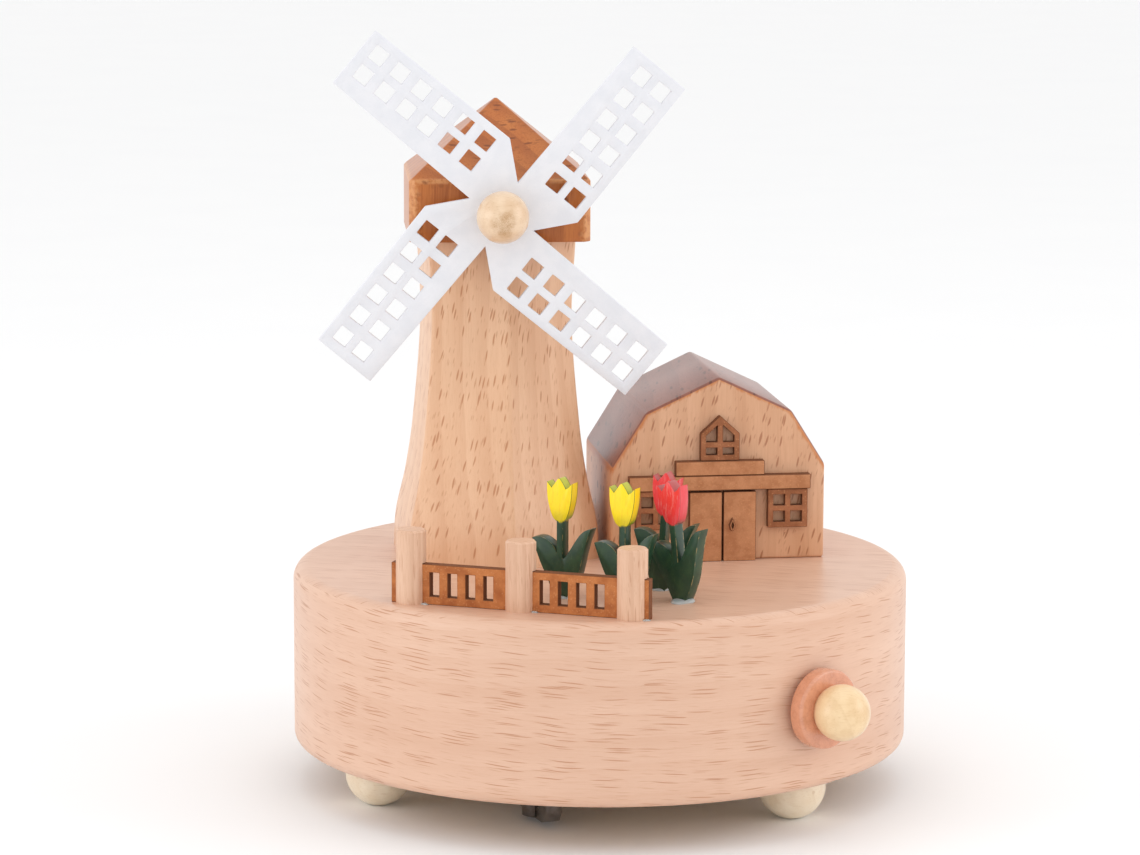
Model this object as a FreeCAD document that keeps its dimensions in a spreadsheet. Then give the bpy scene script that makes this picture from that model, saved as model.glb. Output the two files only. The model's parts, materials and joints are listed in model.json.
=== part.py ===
import FreeCAD, Part
import math
import os
import types
import Sketcher
from FreeCAD import Placement, Rotation, Vector

# Wind-up music box: a turned beech drum carrying a hexagonal windmill tower, a small barn,
# a picket fence and four tulips.  A spring movement inside the drum turns the sails.
# Millimetres, +Z up, z = 0 on the table, x = y = 0 on the drum axis, sails facing -Y.

os.makedirs("parts", exist_ok=True)
doc = FreeCAD.newDocument("windmill_music_box")

# ------------------------------------------------------------------------------------------
# Driving dimensions
# ------------------------------------------------------------------------------------------
SIZES = {
    # drum, lid and feet
    "drum_r": 60.0, "drum_h": 34.6, "drum_top_round": 2.8, "drum_low_round": 1.8,
    "well_r": 49.8, "well_depth": 26.0, "lid_r": 52.8, "lid_t": 3.0, "lid_gap": 0.2,
    "foot_h": 9.2, "foot_r": 6.5, "foot_flat_r": 1.6, "foot_half_x": 39.8, "foot_half_y": 25.4,
    "foot_yaw": -10.8,
    # tower and cap
    "tower_x": -19.9, "tower_y": 11.3, "tower_yaw": 6.5, "tower_h": 63.6, "tower_bore_r": 4.5,
    "flare_foot_r": 21.8, "flare_low_r": 21.4, "flare_mid_r": 19.3, "flare_top_r": 17.7,
    "waist_r": 16.0, "neck_r": 16.8,
    "cap_w": 34.9, "cap_h": 11.8, "roof_rise": 14.5, "cap_chamfer": 1.2, "cap_well_r": 11.0,
    "cap_well_h": 13.0, "axle_h": 5.9,
    # sails, in the plane of the sails and measured from the axle
    "sail_t": 1.8, "tip_near_x": -31.9, "tip_near_y": 25.2, "tip_far_x": -23.8, "tip_far_y": 35.0,
    "kink_x": 1.6, "kink_y": 14.5, "notch_x": -6.0, "notch_y": 3.1,
    "pane": 3.1, "pane_pitch": 5.16, "pane_row_gap": 4.65, "pane_first_x": -23.2,
    "pane_first_y": 30.2, "pane_angle": -38.8, "pane_count": 6,
    "hub_ball_r": 5.0, "spacer_t": 2.9, "axle_r": 1.0,
    # barn
    "barn_x": 23.2, "barn_y": -0.6, "barn_yaw": 3.9, "barn_w": 42.3, "barn_l": 35.5,
    "wall_h": 18.7, "knee_x": 14.4, "knee_h": 29.5, "ridge_h": 36.3, "trim_t": 2.0, "door_x": 0.65,
    # fence and tulips
    "fence_x": -38.2, "fence_y": -37.7, "fence_yaw": -23.0, "post_pitch": 21.7, "post_r": 2.85,
    "post_h": 13.2, "end_post_h": 13.9, "fence_t": 2.0, "fence_h": 7.6, "fence_stub": 5.9,
    "tulip_h": 22.8, "tulip_t": 2.6,
    # winding movement
    "key_x": -14.0, "key_y": -30.8, "key_yaw": -76.0, "spur_module": 0.8, "wheel_teeth": 30, "idler_teeth": 26,
    "drive_crown_teeth": 28, "drive_pinion_teeth": 10, "fan_module": 0.6, "fan_crown_teeth": 20,
    "fan_pinion_teeth": 8, "sail_crown_teeth": 20, "sail_pinion_teeth": 8,
    "plate_t": 1.6, "wheel_t": 2.2, "barrel_h": 7.6, "barrel_r": 10.4,
    "tune_r": 6.0, "tune_l": 16.0, "pin_h": 0.45, "comb_teeth": 18,
    "arbor_r": 1.5, "key_arbor_r": 2.0, "running_gap": 0.05,
    # stop knob
    "knob_yaw": -52.5, "knob_h": 16.0, "knob_r": 7.5, "knob_t": 3.0, "knob_gap": 1.0,
    "knob_ball_r": 5.3, "spindle_r": 1.5, "bush_r": 3.0,
}

sheet = doc.addObject("Spreadsheet::Sheet", "Dims")
for row, (alias, number) in enumerate(SIZES.items(), start=1):
    sheet.set("A%d" % row, alias)
    sheet.set("B%d" % row, str(number))
    sheet.setAlias("B%d" % row, alias)
doc.recompute()


class Size:
    """A number together with the sheet expression that drives it."""

    def __init__(self, text, value):
        self.text = text
        self.value = float(value)

    def __add__(self, other):
        other = as_size(other)
        return Size("(%s + %s)" % (self.text, other.text), self.value + other.value)

    def __sub__(self, other):
        other = as_size(other)
        return Size("(%s - %s)" % (self.text, other.text), self.value - other.value)

    def __mul__(self, other):
        other = as_size(other)
        return Size("(%s * %s)" % (self.text, other.text), self.value * other.value)

    def __truediv__(self, other):
        other = as_size(other)
        return Size("(%s / %s)" % (self.text, other.text), self.value / other.value)

    def __radd__(self, other):
        return as_size(other) + self

    def __rsub__(self, other):
        return as_size(other) - self

    def __rmul__(self, other):
        return as_size(other) * self

    def __rtruediv__(self, other):
        return as_size(other) / self

    def __neg__(self):
        return as_size(0) - self


def as_size(number):
    """Wrap a plain number so it can be mixed with sizes from the sheet."""
    return number if isinstance(number, Size) else Size("(%r)" % float(number), number)


def cosd(angle):
    angle = as_size(angle)
    return Size("cos(%s)" % angle.text, math.cos(math.radians(angle.value)))


def sind(angle):
    angle = as_size(angle)
    return Size("sin(%s)" % angle.text, math.sin(math.radians(angle.value)))


def root(number):
    return Size("sqrt(%s)" % number.text, math.sqrt(number.value))


def heading(dx, dy):
    """Angle of a direction in degrees."""
    return Size("(atan2(%s; %s) / 1 deg)" % (dy.text, dx.text),
                math.degrees(math.atan2(dy.value, dx.value)))


def degrees_of(arc, radius):
    """Angle that an arc length takes up at a radius."""
    return arc / radius * (180.0 / math.pi)


d = types.SimpleNamespace(**{name: Size("Dims." + name, value) for name, value in SIZES.items()})
NODES = []


def bind(obj, prop, value):
    """Tie one property to the sheet."""
    value = as_size(value)
    obj.setExpression(prop, value.text)


def place(obj, x=0, y=0, z=0, turn=None, yaw=None):
    """Put an object at a sheet-driven position; turn is fixed, yaw about +Z is sheet-driven."""
    at = [as_size(v) for v in (x, y, z)]
    if yaw is not None:
        turn = Rotation(Vector(0, 0, 1), as_size(yaw).value)
    obj.Placement = Placement(Vector(*[v.value for v in at]), turn or Rotation())
    for axis, value in zip("xyz", at):
        bind(obj, "Placement.Base." + axis, value)
    if yaw is not None:
        obj.Placement.Rotation.Axis = Vector(0, 0, 1)
        bind(obj, "Placement.Rotation.Angle", yaw)
    return obj


def node(obj, name):
    """Register a finished piece under its own name."""
    obj.Label = name
    NODES.append(obj)
    return obj


# ------------------------------------------------------------------------------------------
# Sketches and bodies
# ------------------------------------------------------------------------------------------
def new_body(name):
    return doc.addObject("PartDesign::Body", name)


def sketch_on(body, role="XY_Plane", lift=None):
    """A sketch on one of the body's own origin planes, raised along the normal by lift."""
    plane = [f for f in body.Origin.OriginFeatures if f.Role == role][0]
    sketch = body.newObject("Sketcher::SketchObject", body.Name + "_sketch")
    sketch.AttachmentSupport = (plane, [""])
    sketch.MapMode = "FlatFace"
    if lift is not None:
        sketch.AttachmentOffset = Placement(Vector(0, 0, as_size(lift).value), Rotation())
        bind(sketch, "AttachmentOffset.Base.z", lift)
    return sketch


def polygon(sketch, points):
    """Closed outline whose every corner is tied to the sheet."""
    points = [(as_size(x), as_size(y)) for x, y in points]
    first = sketch.GeometryCount
    count = len(points)
    flat = [Vector(x.value, y.value, 0) for x, y in points]
    for i in range(count):
        sketch.addGeometry(Part.LineSegment(flat[i], flat[(i + 1) % count]), False)
    rules = []
    for i in range(count):
        rules.append(Sketcher.Constraint("Coincident", first + i, 2, first + (i + 1) % count, 1))
    for i, (x, y) in enumerate(points):
        rules.append(Sketcher.Constraint("DistanceX", -1, 1, first + i, 1, x.value))
        rules.append(Sketcher.Constraint("DistanceY", -1, 1, first + i, 1, y.value))
    start = sketch.ConstraintCount
    sketch.addConstraint(rules)
    for i, (x, y) in enumerate(points):
        bind(sketch, "Constraints[%d]" % (start + count + 2 * i), x)
        bind(sketch, "Constraints[%d]" % (start + count + 2 * i + 1), y)


def ring(sketch, radius, x=0, y=0):
    """Circle with sheet-driven centre and radius."""
    radius, x, y = as_size(radius), as_size(x), as_size(y)
    index = sketch.addGeometry(Part.Circle(Vector(x.value, y.value, 0), Vector(0, 0, 1),
                                           radius.value), False)
    start = sketch.ConstraintCount
    sketch.addConstraint([
        Sketcher.Constraint("DistanceX", -1, 1, index, 3, x.value),
        Sketcher.Constraint("DistanceY", -1, 1, index, 3, y.value),
        Sketcher.Constraint("Radius", index, radius.value)])
    for i, value in enumerate((x, y, radius)):
        bind(sketch, "Constraints[%d]" % (start + i), value)


def pad(body, sketch, length):
    feature = body.newObject("PartDesign::Pad", body.Name + "_pad")
    feature.Profile = sketch
    feature.Length = as_size(length).value
    bind(feature, "Length", length)
    sketch.Visibility = False
    return feature


def pocket(body, sketch, length):
    """Cut a sketch against its normal; the sketch sits on the far side of the material."""
    feature = body.newObject("PartDesign::Pocket", body.Name + "_pocket")
    feature.Profile = sketch
    feature.Length = as_size(length).value
    bind(feature, "Length", length)
    return feature


def around(body, feature, sketch, count):
    """Repeat a feature evenly about the body's own Z axis."""
    pattern = body.newObject("PartDesign::PolarPattern", body.Name + "_ring")
    pattern.Originals = [feature]
    pattern.Axis = (sketch, ["N_Axis"])
    pattern.Angle = 360
    pattern.Occurrences = int(as_size(count).value)
    bind(pattern, "Occurrences", count)
    body.Tip = pattern
    return pattern


def along(body, feature, sketch, length, count, axis="H_Axis"):
    """Repeat a feature evenly along one of a sketch's axes."""
    pattern = body.newObject("PartDesign::LinearPattern", body.Name + "_row")
    pattern.Originals = [feature]
    pattern.Direction = (sketch, [axis])
    pattern.Length = as_size(length).value
    bind(pattern, "Length", length)
    pattern.Occurrences = int(as_size(count).value)
    bind(pattern, "Occurrences", count)
    body.Tip = pattern
    return pattern


def turned(body, points):
    """Revolve an outline of (radius, height) corners about the body's Z axis."""
    sketch = sketch_on(body, "XZ_Plane")
    polygon(sketch, points)
    feature = body.newObject("PartDesign::Revolution", body.Name + "_turn")
    feature.Profile = sketch
    feature.ReferenceAxis = (sketch, ["V_Axis"])
    feature.Angle = 360
    return feature


def round_edges(body, feature, radius, test):
    """Fillet every edge of a feature that passes the test."""
    doc.recompute()
    names = ["Edge%d" % (i + 1) for i, e in enumerate(feature.Shape.Edges) if test(e)]
    fillet = body.newObject("PartDesign::Fillet", body.Name + "_round")
    fillet.Base = (feature, names)
    fillet.Radius = as_size(radius).value
    bind(fillet, "Radius", radius)
    return fillet


def flat_part(name, outlines, thickness, circles=()):
    """A plate cut from sheet: outlines and circles in the XY plane, thickness along +Z."""
    body = new_body(name)
    sketch = sketch_on(body)
    for points in outlines:
        polygon(sketch, points)
    for radius, x, y in circles:
        ring(sketch, radius, x, y)
    pad(body, sketch, thickness)
    return body


# ------------------------------------------------------------------------------------------
# Primitives and booleans
# ------------------------------------------------------------------------------------------
def rod(radius, length, x=0, y=0, z=0, turn=None, name="rod"):
    obj = doc.addObject("Part::Cylinder", name)
    bind(obj, "Radius", radius)
    bind(obj, "Height", length)
    return place(obj, x, y, z, turn)


def block(dx, dy, dz, x=0, y=0, z=0, turn=None, yaw=None, name="block"):
    obj = doc.addObject("Part::Box", name)
    bind(obj, "Length", dx)
    bind(obj, "Width", dy)
    bind(obj, "Height", dz)
    return place(obj, x, y, z, turn, yaw)


def ball(radius, x=0, y=0, z=0, turn=None):
    obj = doc.addObject("Part::Sphere", "ball")
    bind(obj, "Radius", radius)
    return place(obj, x, y, z, turn)


def fuse(*shapes):
    obj = doc.addObject("Part::MultiFuse", "fuse")
    obj.Shapes = list(shapes)
    obj.Refine = True
    return obj


def cut(base, *tools):
    obj = doc.addObject("Part::Cut", "cut")
    obj.Base = base
    obj.Tool = tools[0] if len(tools) == 1 else fuse(*tools)
    obj.Refine = True
    return obj


def common(base, tool):
    obj = doc.addObject("Part::Common", "common")
    obj.Base = base
    obj.Tool = tool
    obj.Refine = True
    return obj


def together(*shapes):
    """Identical separate pieces kept in one node."""
    obj = doc.addObject("Part::Compound", "set")
    obj.Links = list(shapes)
    return obj


# ------------------------------------------------------------------------------------------
# Toothed wheels
# ------------------------------------------------------------------------------------------
TIP, DEDENDUM, FOOT_WIDTH, TIP_WIDTH = 0.75, 1.1, 1.75, 0.7
FACE_TOOTH_WIDTH = 1.0


def tooth_outline(module, pitch_r, phase):
    """Trapezoid tooth for a spur wheel, centred on the given angle."""
    low, high = pitch_r - DEDENDUM * module, pitch_r + TIP * module
    foot = low * 0.97
    foot_half = degrees_of(FOOT_WIDTH * module * 0.5, low)
    tip_half = degrees_of(TIP_WIDTH * module * 0.5, high)
    corners = ((foot, phase - foot_half), (high, phase - tip_half),
               (high, phase + tip_half), (foot, phase + foot_half))
    return [(r * cosd(a), r * sind(a)) for r, a in corners]


def spur_teeth(body, module, pitch_r, count, phase, thickness, lift=None):
    """Add a ring of spur teeth to a body."""
    sketch = sketch_on(body, lift=lift)
    polygon(sketch, tooth_outline(module, pitch_r, as_size(phase)))
    around(body, pad(body, sketch, thickness), sketch, count)


def face_teeth(body, module, pitch_r, count, phase, lift, width=2.4):
    """Add a ring of crown teeth standing up from the plane at lift."""
    sketch = sketch_on(body, lift=lift)
    phase = as_size(phase)
    half = FACE_TOOTH_WIDTH * module * 0.5
    corners = []
    for radial, side in ((-1, -1), (1, -1), (1, 1), (-1, 1)):
        reach = pitch_r + radial * width * 0.5
        corners.append((reach * cosd(phase) - side * half * sind(phase),
                        reach * sind(phase) + side * half * cosd(phase)))
    polygon(sketch, corners)
    around(body, pad(body, sketch, (TIP + DEDENDUM) * module), sketch, count)


def spur_wheel(name, module, count, phase, thickness, bore):
    """A plain spur wheel with a round bore."""
    body = new_body(name)
    pitch_r = module * count / 2
    sketch = sketch_on(body)
    ring(sketch, pitch_r - DEDENDUM * module)
    ring(sketch, bore)
    pad(body, sketch, thickness)
    spur_teeth(body, module, pitch_r, count, phase, thickness)
    return body


def crown_wheel(name, module, count, phase, plate, bore, width=2.4):
    """A plate with crown teeth on its +Z face."""
    body = new_body(name)
    pitch_r = module * count / 2
    sketch = sketch_on(body)
    ring(sketch, pitch_r + width * 0.5 + 0.3)
    ring(sketch, bore)
    pad(body, sketch, plate)
    face_teeth(body, module, pitch_r, count, phase, plate, width)
    return body


# ------------------------------------------------------------------------------------------
# Levels and positions used by several pieces
# ------------------------------------------------------------------------------------------
FRONT = Rotation(Vector(1, 0, 0), 90)       # local +Z looks to the front (-Y), local +Y is up
SIDEWAYS = Rotation(Vector(0, 1, 0), 90)    # local +Z points along +X, local +X is down

under = d.foot_h                            # underside of the drum
deck = under + d.drum_h                     # top face of the drum
cap_z = deck + d.tower_h
axle_z = cap_z + d.axle_h
plate_z = under + d.lid_t
plate_top = plate_z + d.plate_t
wheel_z = plate_top + 1.0
wheel_pitch = d.spur_module * d.wheel_teeth / 2
idler_pitch = d.spur_module * d.idler_teeth / 2
barrel_z = plate_top + 0.6
barrel_top = barrel_z + d.barrel_h
drive_pitch = d.spur_module * d.drive_pinion_teeth / 2
crown_pitch = d.spur_module * d.drive_crown_teeth / 2
tune_z = barrel_top + DEDENDUM * d.spur_module + drive_pitch
tune_x = d.key_x + crown_pitch + 6.6        # left end of the tune cylinder
tune_end = tune_x + d.tune_l
out_x, out_y = cosd(d.knob_yaw), sind(d.knob_yaw)
knob_z = under + d.knob_h
KNOB_TURN = Rotation(Vector(0, 0, 1), SIZES["knob_yaw"]) * SIDEWAYS

# ------------------------------------------------------------------------------------------
# Drum, lid and feet
# ------------------------------------------------------------------------------------------
drum = new_body("drum_blank")
turn = turned(drum, [(0, d.drum_h), (d.drum_r, d.drum_h), (d.drum_r, 0), (d.lid_r + d.lid_gap, 0),
                     (d.lid_r + d.lid_gap, d.lid_t), (d.well_r, d.lid_t),
                     (d.well_r, d.well_depth), (0, d.well_depth)])


def outer_edge(height):
    """Test for the round outer edge at one height."""
    return lambda e: (abs(e.BoundBox.XLength - 2 * SIZES["drum_r"]) < 0.1 and
                      abs(e.BoundBox.ZMin - height) < 0.01 and e.BoundBox.ZLength < 0.01)


turn = round_edges(drum, turn, d.drum_top_round, outer_edge(SIZES["drum_h"]))
round_edges(drum, turn, d.drum_low_round, outer_edge(0))
place(drum, 0, 0, under)
shaft_hole = rod(d.bush_r, d.drum_h, d.tower_x, d.tower_y, under + d.well_depth - 1)
spindle_hole = rod(d.bush_r, d.drum_r, out_x * d.well_r * 0.9, out_y * d.well_r * 0.9, knob_z,
                   KNOB_TURN)
SCREW_ANGLES = (20.0, 110.0, 200.0, 290.0)
screw_ring_r = d.well_r + 1.3
lid_screw_at = [(screw_ring_r * cosd(a), screw_ring_r * sind(a)) for a in SCREW_ANGLES]
pilot_holes = [rod(0.6, 7.5, x, y, under + d.lid_t - 0.5) for x, y in lid_screw_at]
node(cut(drum, shaft_hole, spindle_hole, *pilot_holes), "drum_base")

PLATE_SCREWS = ((-14.5, 7.0), (13.5, 22.0), (34.0, 13.0))      # from the key axis
feet_at = []
for sx, sy in ((-1, -1), (1, -1), (1, 1), (-1, 1)):
    fx, fy = sx * d.foot_half_x, sy * d.foot_half_y
    feet_at.append((fx * cosd(d.foot_yaw) - fy * sind(d.foot_yaw),
                    fx * sind(d.foot_yaw) + fy * cosd(d.foot_yaw)))
sound_holes = [(2.2, 16 + 9.0 * cosd(60.0 * k), 18 + 9.0 * sind(60.0 * k)) for k in range(6)]
lid = flat_part("lid_blank", [], d.lid_t,
                [(d.lid_r, 0, 0), (d.bush_r + 0.6, d.key_x, d.key_y), (2.2, 16, 18)] +
                sound_holes + [(0.7, x, y) for x, y in feet_at + lid_screw_at] +
                [(0.65, d.key_x + x, d.key_y + y) for x, y in PLATE_SCREWS])
place(lid, 0, 0, under)


def cone(low_r, high_r, height, x, y, z):
    obj = doc.addObject("Part::Cone", "cone")
    obj.Radius1, obj.Radius2, obj.Height = low_r, high_r, height
    return place(obj, x, y, z)


sinks = [cone(1.4, 0.7, 0.8, x, y, under) for x, y in lid_screw_at]
sinks += [cone(0.7, 1.4, 0.8, x, y, plate_z - 0.8) for x, y in feet_at]
shaft_foot = rod(d.arbor_r + d.running_gap, d.lid_t, d.tower_x, d.tower_y, plate_z - 1.5)
node(cut(lid, shaft_foot, *sinks), "bottom_lid")


def wood_screw(x, y, z, up):
    """Slotted countersunk screw with the face of its head at z, pointing up or down."""
    if up:
        head, shank_z, slot_z = cone(1.32, 0.6, 0.76, x, y, z), z + 0.3, z - 0.1
    else:
        head, shank_z, slot_z = cone(0.6, 1.32, 0.76, x, y, z - 0.76), z - 8.3, z - 0.3
    slot = block(3.2, 0.4, 0.4, x - 1.6, y - 0.2, slot_z)
    return cut(fuse(head, rod(0.58, 8.0, x, y, shank_z)), slot)


node(together(*([wood_screw(x, y, under, True) for x, y in lid_screw_at] +
                [wood_screw(x, y, plate_z, False) for x, y in feet_at])), "wood_screws")

foot_names = ("foot_front_left", "foot_front_right", "foot_rear_right", "foot_rear_left")
foot_drop = root(d.foot_r * d.foot_r - d.foot_flat_r * d.foot_flat_r)
for name, (x, y) in zip(foot_names, feet_at):
    bead = ball(d.foot_r, x, y, foot_drop)
    keep = rod(d.foot_r + 1, d.foot_h, x, y, 0)
    pilot = rod(0.6, 6.0, x, y, d.foot_h - 5.8)
    node(cut(common(bead, keep), pilot), name)

# ------------------------------------------------------------------------------------------
# Tower and cap
# ------------------------------------------------------------------------------------------
tower = new_body("tower_blank")
LEVELS = ((0.0, d.flare_foot_r), (0.11, d.flare_low_r), (0.25, d.flare_mid_r),
          (0.41, d.flare_top_r), (0.74, d.waist_r), (1.0, d.neck_r))
sections = []
for share, radius in LEVELS:
    sketch = sketch_on(tower, lift=d.tower_h * share)
    polygon(sketch, [(radius * cosd(60.0 * k - 90.0), radius * sind(60.0 * k - 90.0))
                     for k in range(6)])
    sections.append(sketch)
loft = tower.newObject("PartDesign::AdditiveLoft", "tower_loft")
loft.Profile = sections[0]
loft.Sections = sections[1:]
loft.Ruled = False
place(tower, d.tower_x, d.tower_y, deck, yaw=d.tower_yaw)
bore = rod(d.tower_bore_r, d.tower_h + 2, d.tower_x, d.tower_y, deck - 1)
node(cut(tower, bore), "tower")

half = d.cap_w / 2
roof = doc.addObject("Part::Wedge", "roof")
for prop, value in (("Xmin", -half), ("Xmax", half), ("Zmin", -half), ("Zmax", half),
                    ("Ymin", 0), ("Ymax", d.roof_rise), ("X2min", -0.3), ("X2max", 0.3),
                    ("Z2min", -0.3), ("Z2max", 0.3)):
    bind(roof, prop, value)
place(roof, d.tower_x, d.tower_y, cap_z + d.cap_h, FRONT)
cap_block = block(d.cap_w, d.cap_w, d.cap_h, d.tower_x - half, d.tower_y - half, cap_z)
diag = d.cap_w * math.sqrt(2) - d.cap_chamfer * math.sqrt(2)
shave = block(diag, diag, d.cap_h + d.roof_rise + 2, d.tower_x,
              d.tower_y - diag / math.sqrt(2), cap_z - 1, Rotation(Vector(0, 0, 1), 45))
cap = common(fuse(cap_block, roof), shave)
cap_well = rod(d.cap_well_r, d.cap_well_h, d.tower_x, d.tower_y, cap_z)
axle_bush_r = as_size(2.4)
axle_bore = d.axle_r + d.running_gap
front_hole = rod(axle_bush_r, half, d.tower_x, d.tower_y - d.cap_well_r + 2, axle_z, FRONT)
rear_hole = rod(axle_bore, 6.5, d.tower_x, d.tower_y + 14.5, axle_z, FRONT)
node(cut(cap, cap_well, front_hole, rear_hole), "tower_cap")

front_bush = cut(rod(axle_bush_r, half - d.cap_well_r + 0.4, d.tower_x,
                     d.tower_y - d.cap_well_r + 0.4, axle_z, FRONT),
                 rod(axle_bore, 12, d.tower_x, d.tower_y - d.cap_well_r + 2, axle_z, FRONT))
node(front_bush, "sail_bush")

# ------------------------------------------------------------------------------------------
# Sails and their axle
# ------------------------------------------------------------------------------------------
sail_back_y = d.tower_y - half - d.spacer_t - 0.3
sails = new_body("sail_rotor_body")
near, far = (d.tip_near_x, d.tip_near_y), (d.tip_far_x, d.tip_far_y)
kink, notch = (d.kink_x, d.kink_y), (d.notch_x, d.notch_y)
outline = []
for quarter in range(4):
    for x, y in (notch, near, far, kink):
        for _ in range(quarter):
            x, y = y, -x
        outline.append((x, y))
sketch = sketch_on(sails)
polygon(sketch, outline)
ring(sketch, d.axle_r)
pad(sails, sketch, d.sail_t)
panes = sketch_on(sails, lift=d.sail_t)
step_x, step_y = cosd(d.pane_angle), sind(d.pane_angle)
for line in range(2):
    for i in range(SIZES["pane_count"]):
        cx = d.pane_first_x + step_x * d.pane_pitch * i + step_y * d.pane_row_gap * line
        cy = d.pane_first_y + step_y * d.pane_pitch * i - step_x * d.pane_row_gap * line
        corners = []
        for sx, sy in ((-1, -1), (1, -1), (1, 1), (-1, 1)):
            hx, hy = d.pane * (0.5 * sx), d.pane * (0.5 * sy)
            corners.append((cx + hx * step_x - hy * step_y, cy + hx * step_y + hy * step_x))
        polygon(panes, corners)
around(sails, pocket(sails, panes, d.sail_t), panes, 4)
place(sails, d.tower_x, sail_back_y, axle_z, FRONT)
node(sails, "sail_rotor")

axle_back = d.tower_y + 14.0
axle_front = sail_back_y - d.sail_t - d.hub_ball_r - 0.6
node(rod(d.axle_r, axle_back - axle_front, d.tower_x, axle_back, axle_z, FRONT), "sail_axle")
node(cut(rod(3.2, d.spacer_t, d.tower_x, sail_back_y + d.spacer_t, axle_z, FRONT),
         rod(d.axle_r, 8, d.tower_x, sail_back_y + 5, axle_z, FRONT)), "sail_spacer")
hub_y = sail_back_y - d.sail_t - d.hub_ball_r + 0.4
node(cut(ball(d.hub_ball_r, d.tower_x, hub_y, axle_z),
         block(20, 20, 20, d.tower_x - 10, sail_back_y - d.sail_t, axle_z - 10),
         rod(d.axle_r, axle_back - axle_front, d.tower_x, axle_back, axle_z, FRONT)),
     "sail_hub_ball")

sail_pitch = d.spur_module * d.sail_pinion_teeth / 2
sail_crown_pitch = d.spur_module * d.sail_crown_teeth / 2
sail_pinion = spur_wheel("sail_pinion_body", d.spur_module, d.sail_pinion_teeth, -90.0, 2.2,
                         d.axle_r)
place(sail_pinion, d.tower_x, d.tower_y - sail_crown_pitch + 1.1, axle_z, FRONT)
node(sail_pinion, "sail_pinion")
sail_crown = crown_wheel("sail_crown_body", d.spur_module, d.sail_crown_teeth,
                         -90.0 + 180.0 / SIZES["sail_crown_teeth"], 1.2, d.arbor_r)
crown_plate_z = axle_z - sail_pitch - DEDENDUM * d.spur_module - 1.2
place(sail_crown, d.tower_x, d.tower_y, crown_plate_z)
node(sail_crown, "sail_crown_wheel")

# ------------------------------------------------------------------------------------------
# Drive shaft up the tower
# ------------------------------------------------------------------------------------------
shaft_z = plate_z - 1.4
node(rod(d.arbor_r, crown_plate_z + 1.6 - shaft_z, d.tower_x, d.tower_y, shaft_z), "tower_shaft")
shaft_bore = d.arbor_r + d.running_gap
node(cut(rod(d.bush_r, d.drum_h - d.well_depth, d.tower_x, d.tower_y, under + d.well_depth),
         rod(shaft_bore, 20, d.tower_x, d.tower_y, under + d.well_depth - 2)), "shaft_bush_lower")
node(cut(rod(d.tower_bore_r, 5.0, d.tower_x, d.tower_y, cap_z - 5.0),
         rod(shaft_bore, 8, d.tower_x, d.tower_y, cap_z - 6.0)), "shaft_bush_upper")

# Idler: its centre closes the triangle between the barrel and the shaft.
span_x, span_y = d.tower_x - d.key_x, d.tower_y - d.key_y
span = root(span_x * span_x + span_y * span_y)
reach = wheel_pitch + idler_pitch
bow = root(reach * reach - span * span / 4)
idler_x = d.key_x + span_x / 2 - bow * span_y / span
idler_y = d.key_y + span_y / 2 + bow * span_x / span
to_idler = heading(idler_x - d.key_x, idler_y - d.key_y)
to_shaft = heading(d.tower_x - idler_x, d.tower_y - idler_y)
idler_phase = to_idler + 180 + 180 / d.idler_teeth
shaft_phase = to_shaft + 180 + 180 / d.wheel_teeth - \
    (idler_phase - to_shaft) * d.idler_teeth / d.wheel_teeth
shaft_wheel = spur_wheel("shaft_wheel_body", d.spur_module, d.wheel_teeth, shaft_phase,
                         d.wheel_t, d.arbor_r)
place(shaft_wheel, d.tower_x, d.tower_y, wheel_z)
node(shaft_wheel, "shaft_wheel")
idler = spur_wheel("idler_wheel_body", d.spur_module, d.idler_teeth, idler_phase, d.wheel_t,
                   shaft_bore)
place(idler, idler_x, idler_y, wheel_z)
node(idler, "idler_wheel")
node(fuse(rod(2.6, 0.8, idler_x, idler_y, plate_top),
          rod(d.arbor_r, wheel_z + d.wheel_t + 1.0 - plate_top, idler_x, idler_y, plate_top),
          rod(2.3, 0.6, idler_x, idler_y, wheel_z + d.wheel_t + 0.4)), "idler_post")

# ------------------------------------------------------------------------------------------
# Movement plate, spring barrel and key
# ------------------------------------------------------------------------------------------
PLATE_CORNERS = ((-13.5, -10.5), (-17.0, -4.0), (-17.0, 27.0), (40.0, 27.0), (45.0, 20.0),
                 (45.0, -1.5), (38.5, -7.5), (12.0, -13.0), (-6.0, -13.0))
plate = flat_part("movement_plate_body", [PLATE_CORNERS], d.plate_t,
                  [(d.key_arbor_r + d.running_gap, 0, 0), (0.6, -11.8, 16.6)] +
                  [(0.55, x, y) for x, y in PLATE_SCREWS])
place(plate, d.key_x, d.key_y, plate_z)

barrel = new_body("spring_barrel_body")
bore_r = d.key_arbor_r + d.running_gap
flange_r = crown_pitch + 1.4
turned(barrel, [(bore_r, 0), (wheel_pitch - DEDENDUM * d.spur_module, 0),
                (wheel_pitch - DEDENDUM * d.spur_module, d.wheel_t + 0.4),
                (d.barrel_r, d.wheel_t + 0.4), (d.barrel_r, d.barrel_h - 1.2),
                (flange_r, d.barrel_h - 1.2), (flange_r, d.barrel_h),
                (crown_pitch - 1.6, d.barrel_h), (crown_pitch - 1.6, 1.0), (bore_r, 1.0)])
spur_teeth(barrel, d.spur_module, wheel_pitch, d.wheel_teeth, to_idler, d.wheel_t + 0.4)
face_teeth(barrel, d.spur_module, crown_pitch, d.drive_crown_teeth,
           180 / d.drive_crown_teeth, d.barrel_h)
place(barrel, d.key_x, d.key_y, barrel_z)
node(barrel, "spring_barrel")
spring_in, spring_out = d.key_arbor_r + 1.6, crown_pitch - 2.2
coils = 6
strip = 0.35
rings = []
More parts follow.
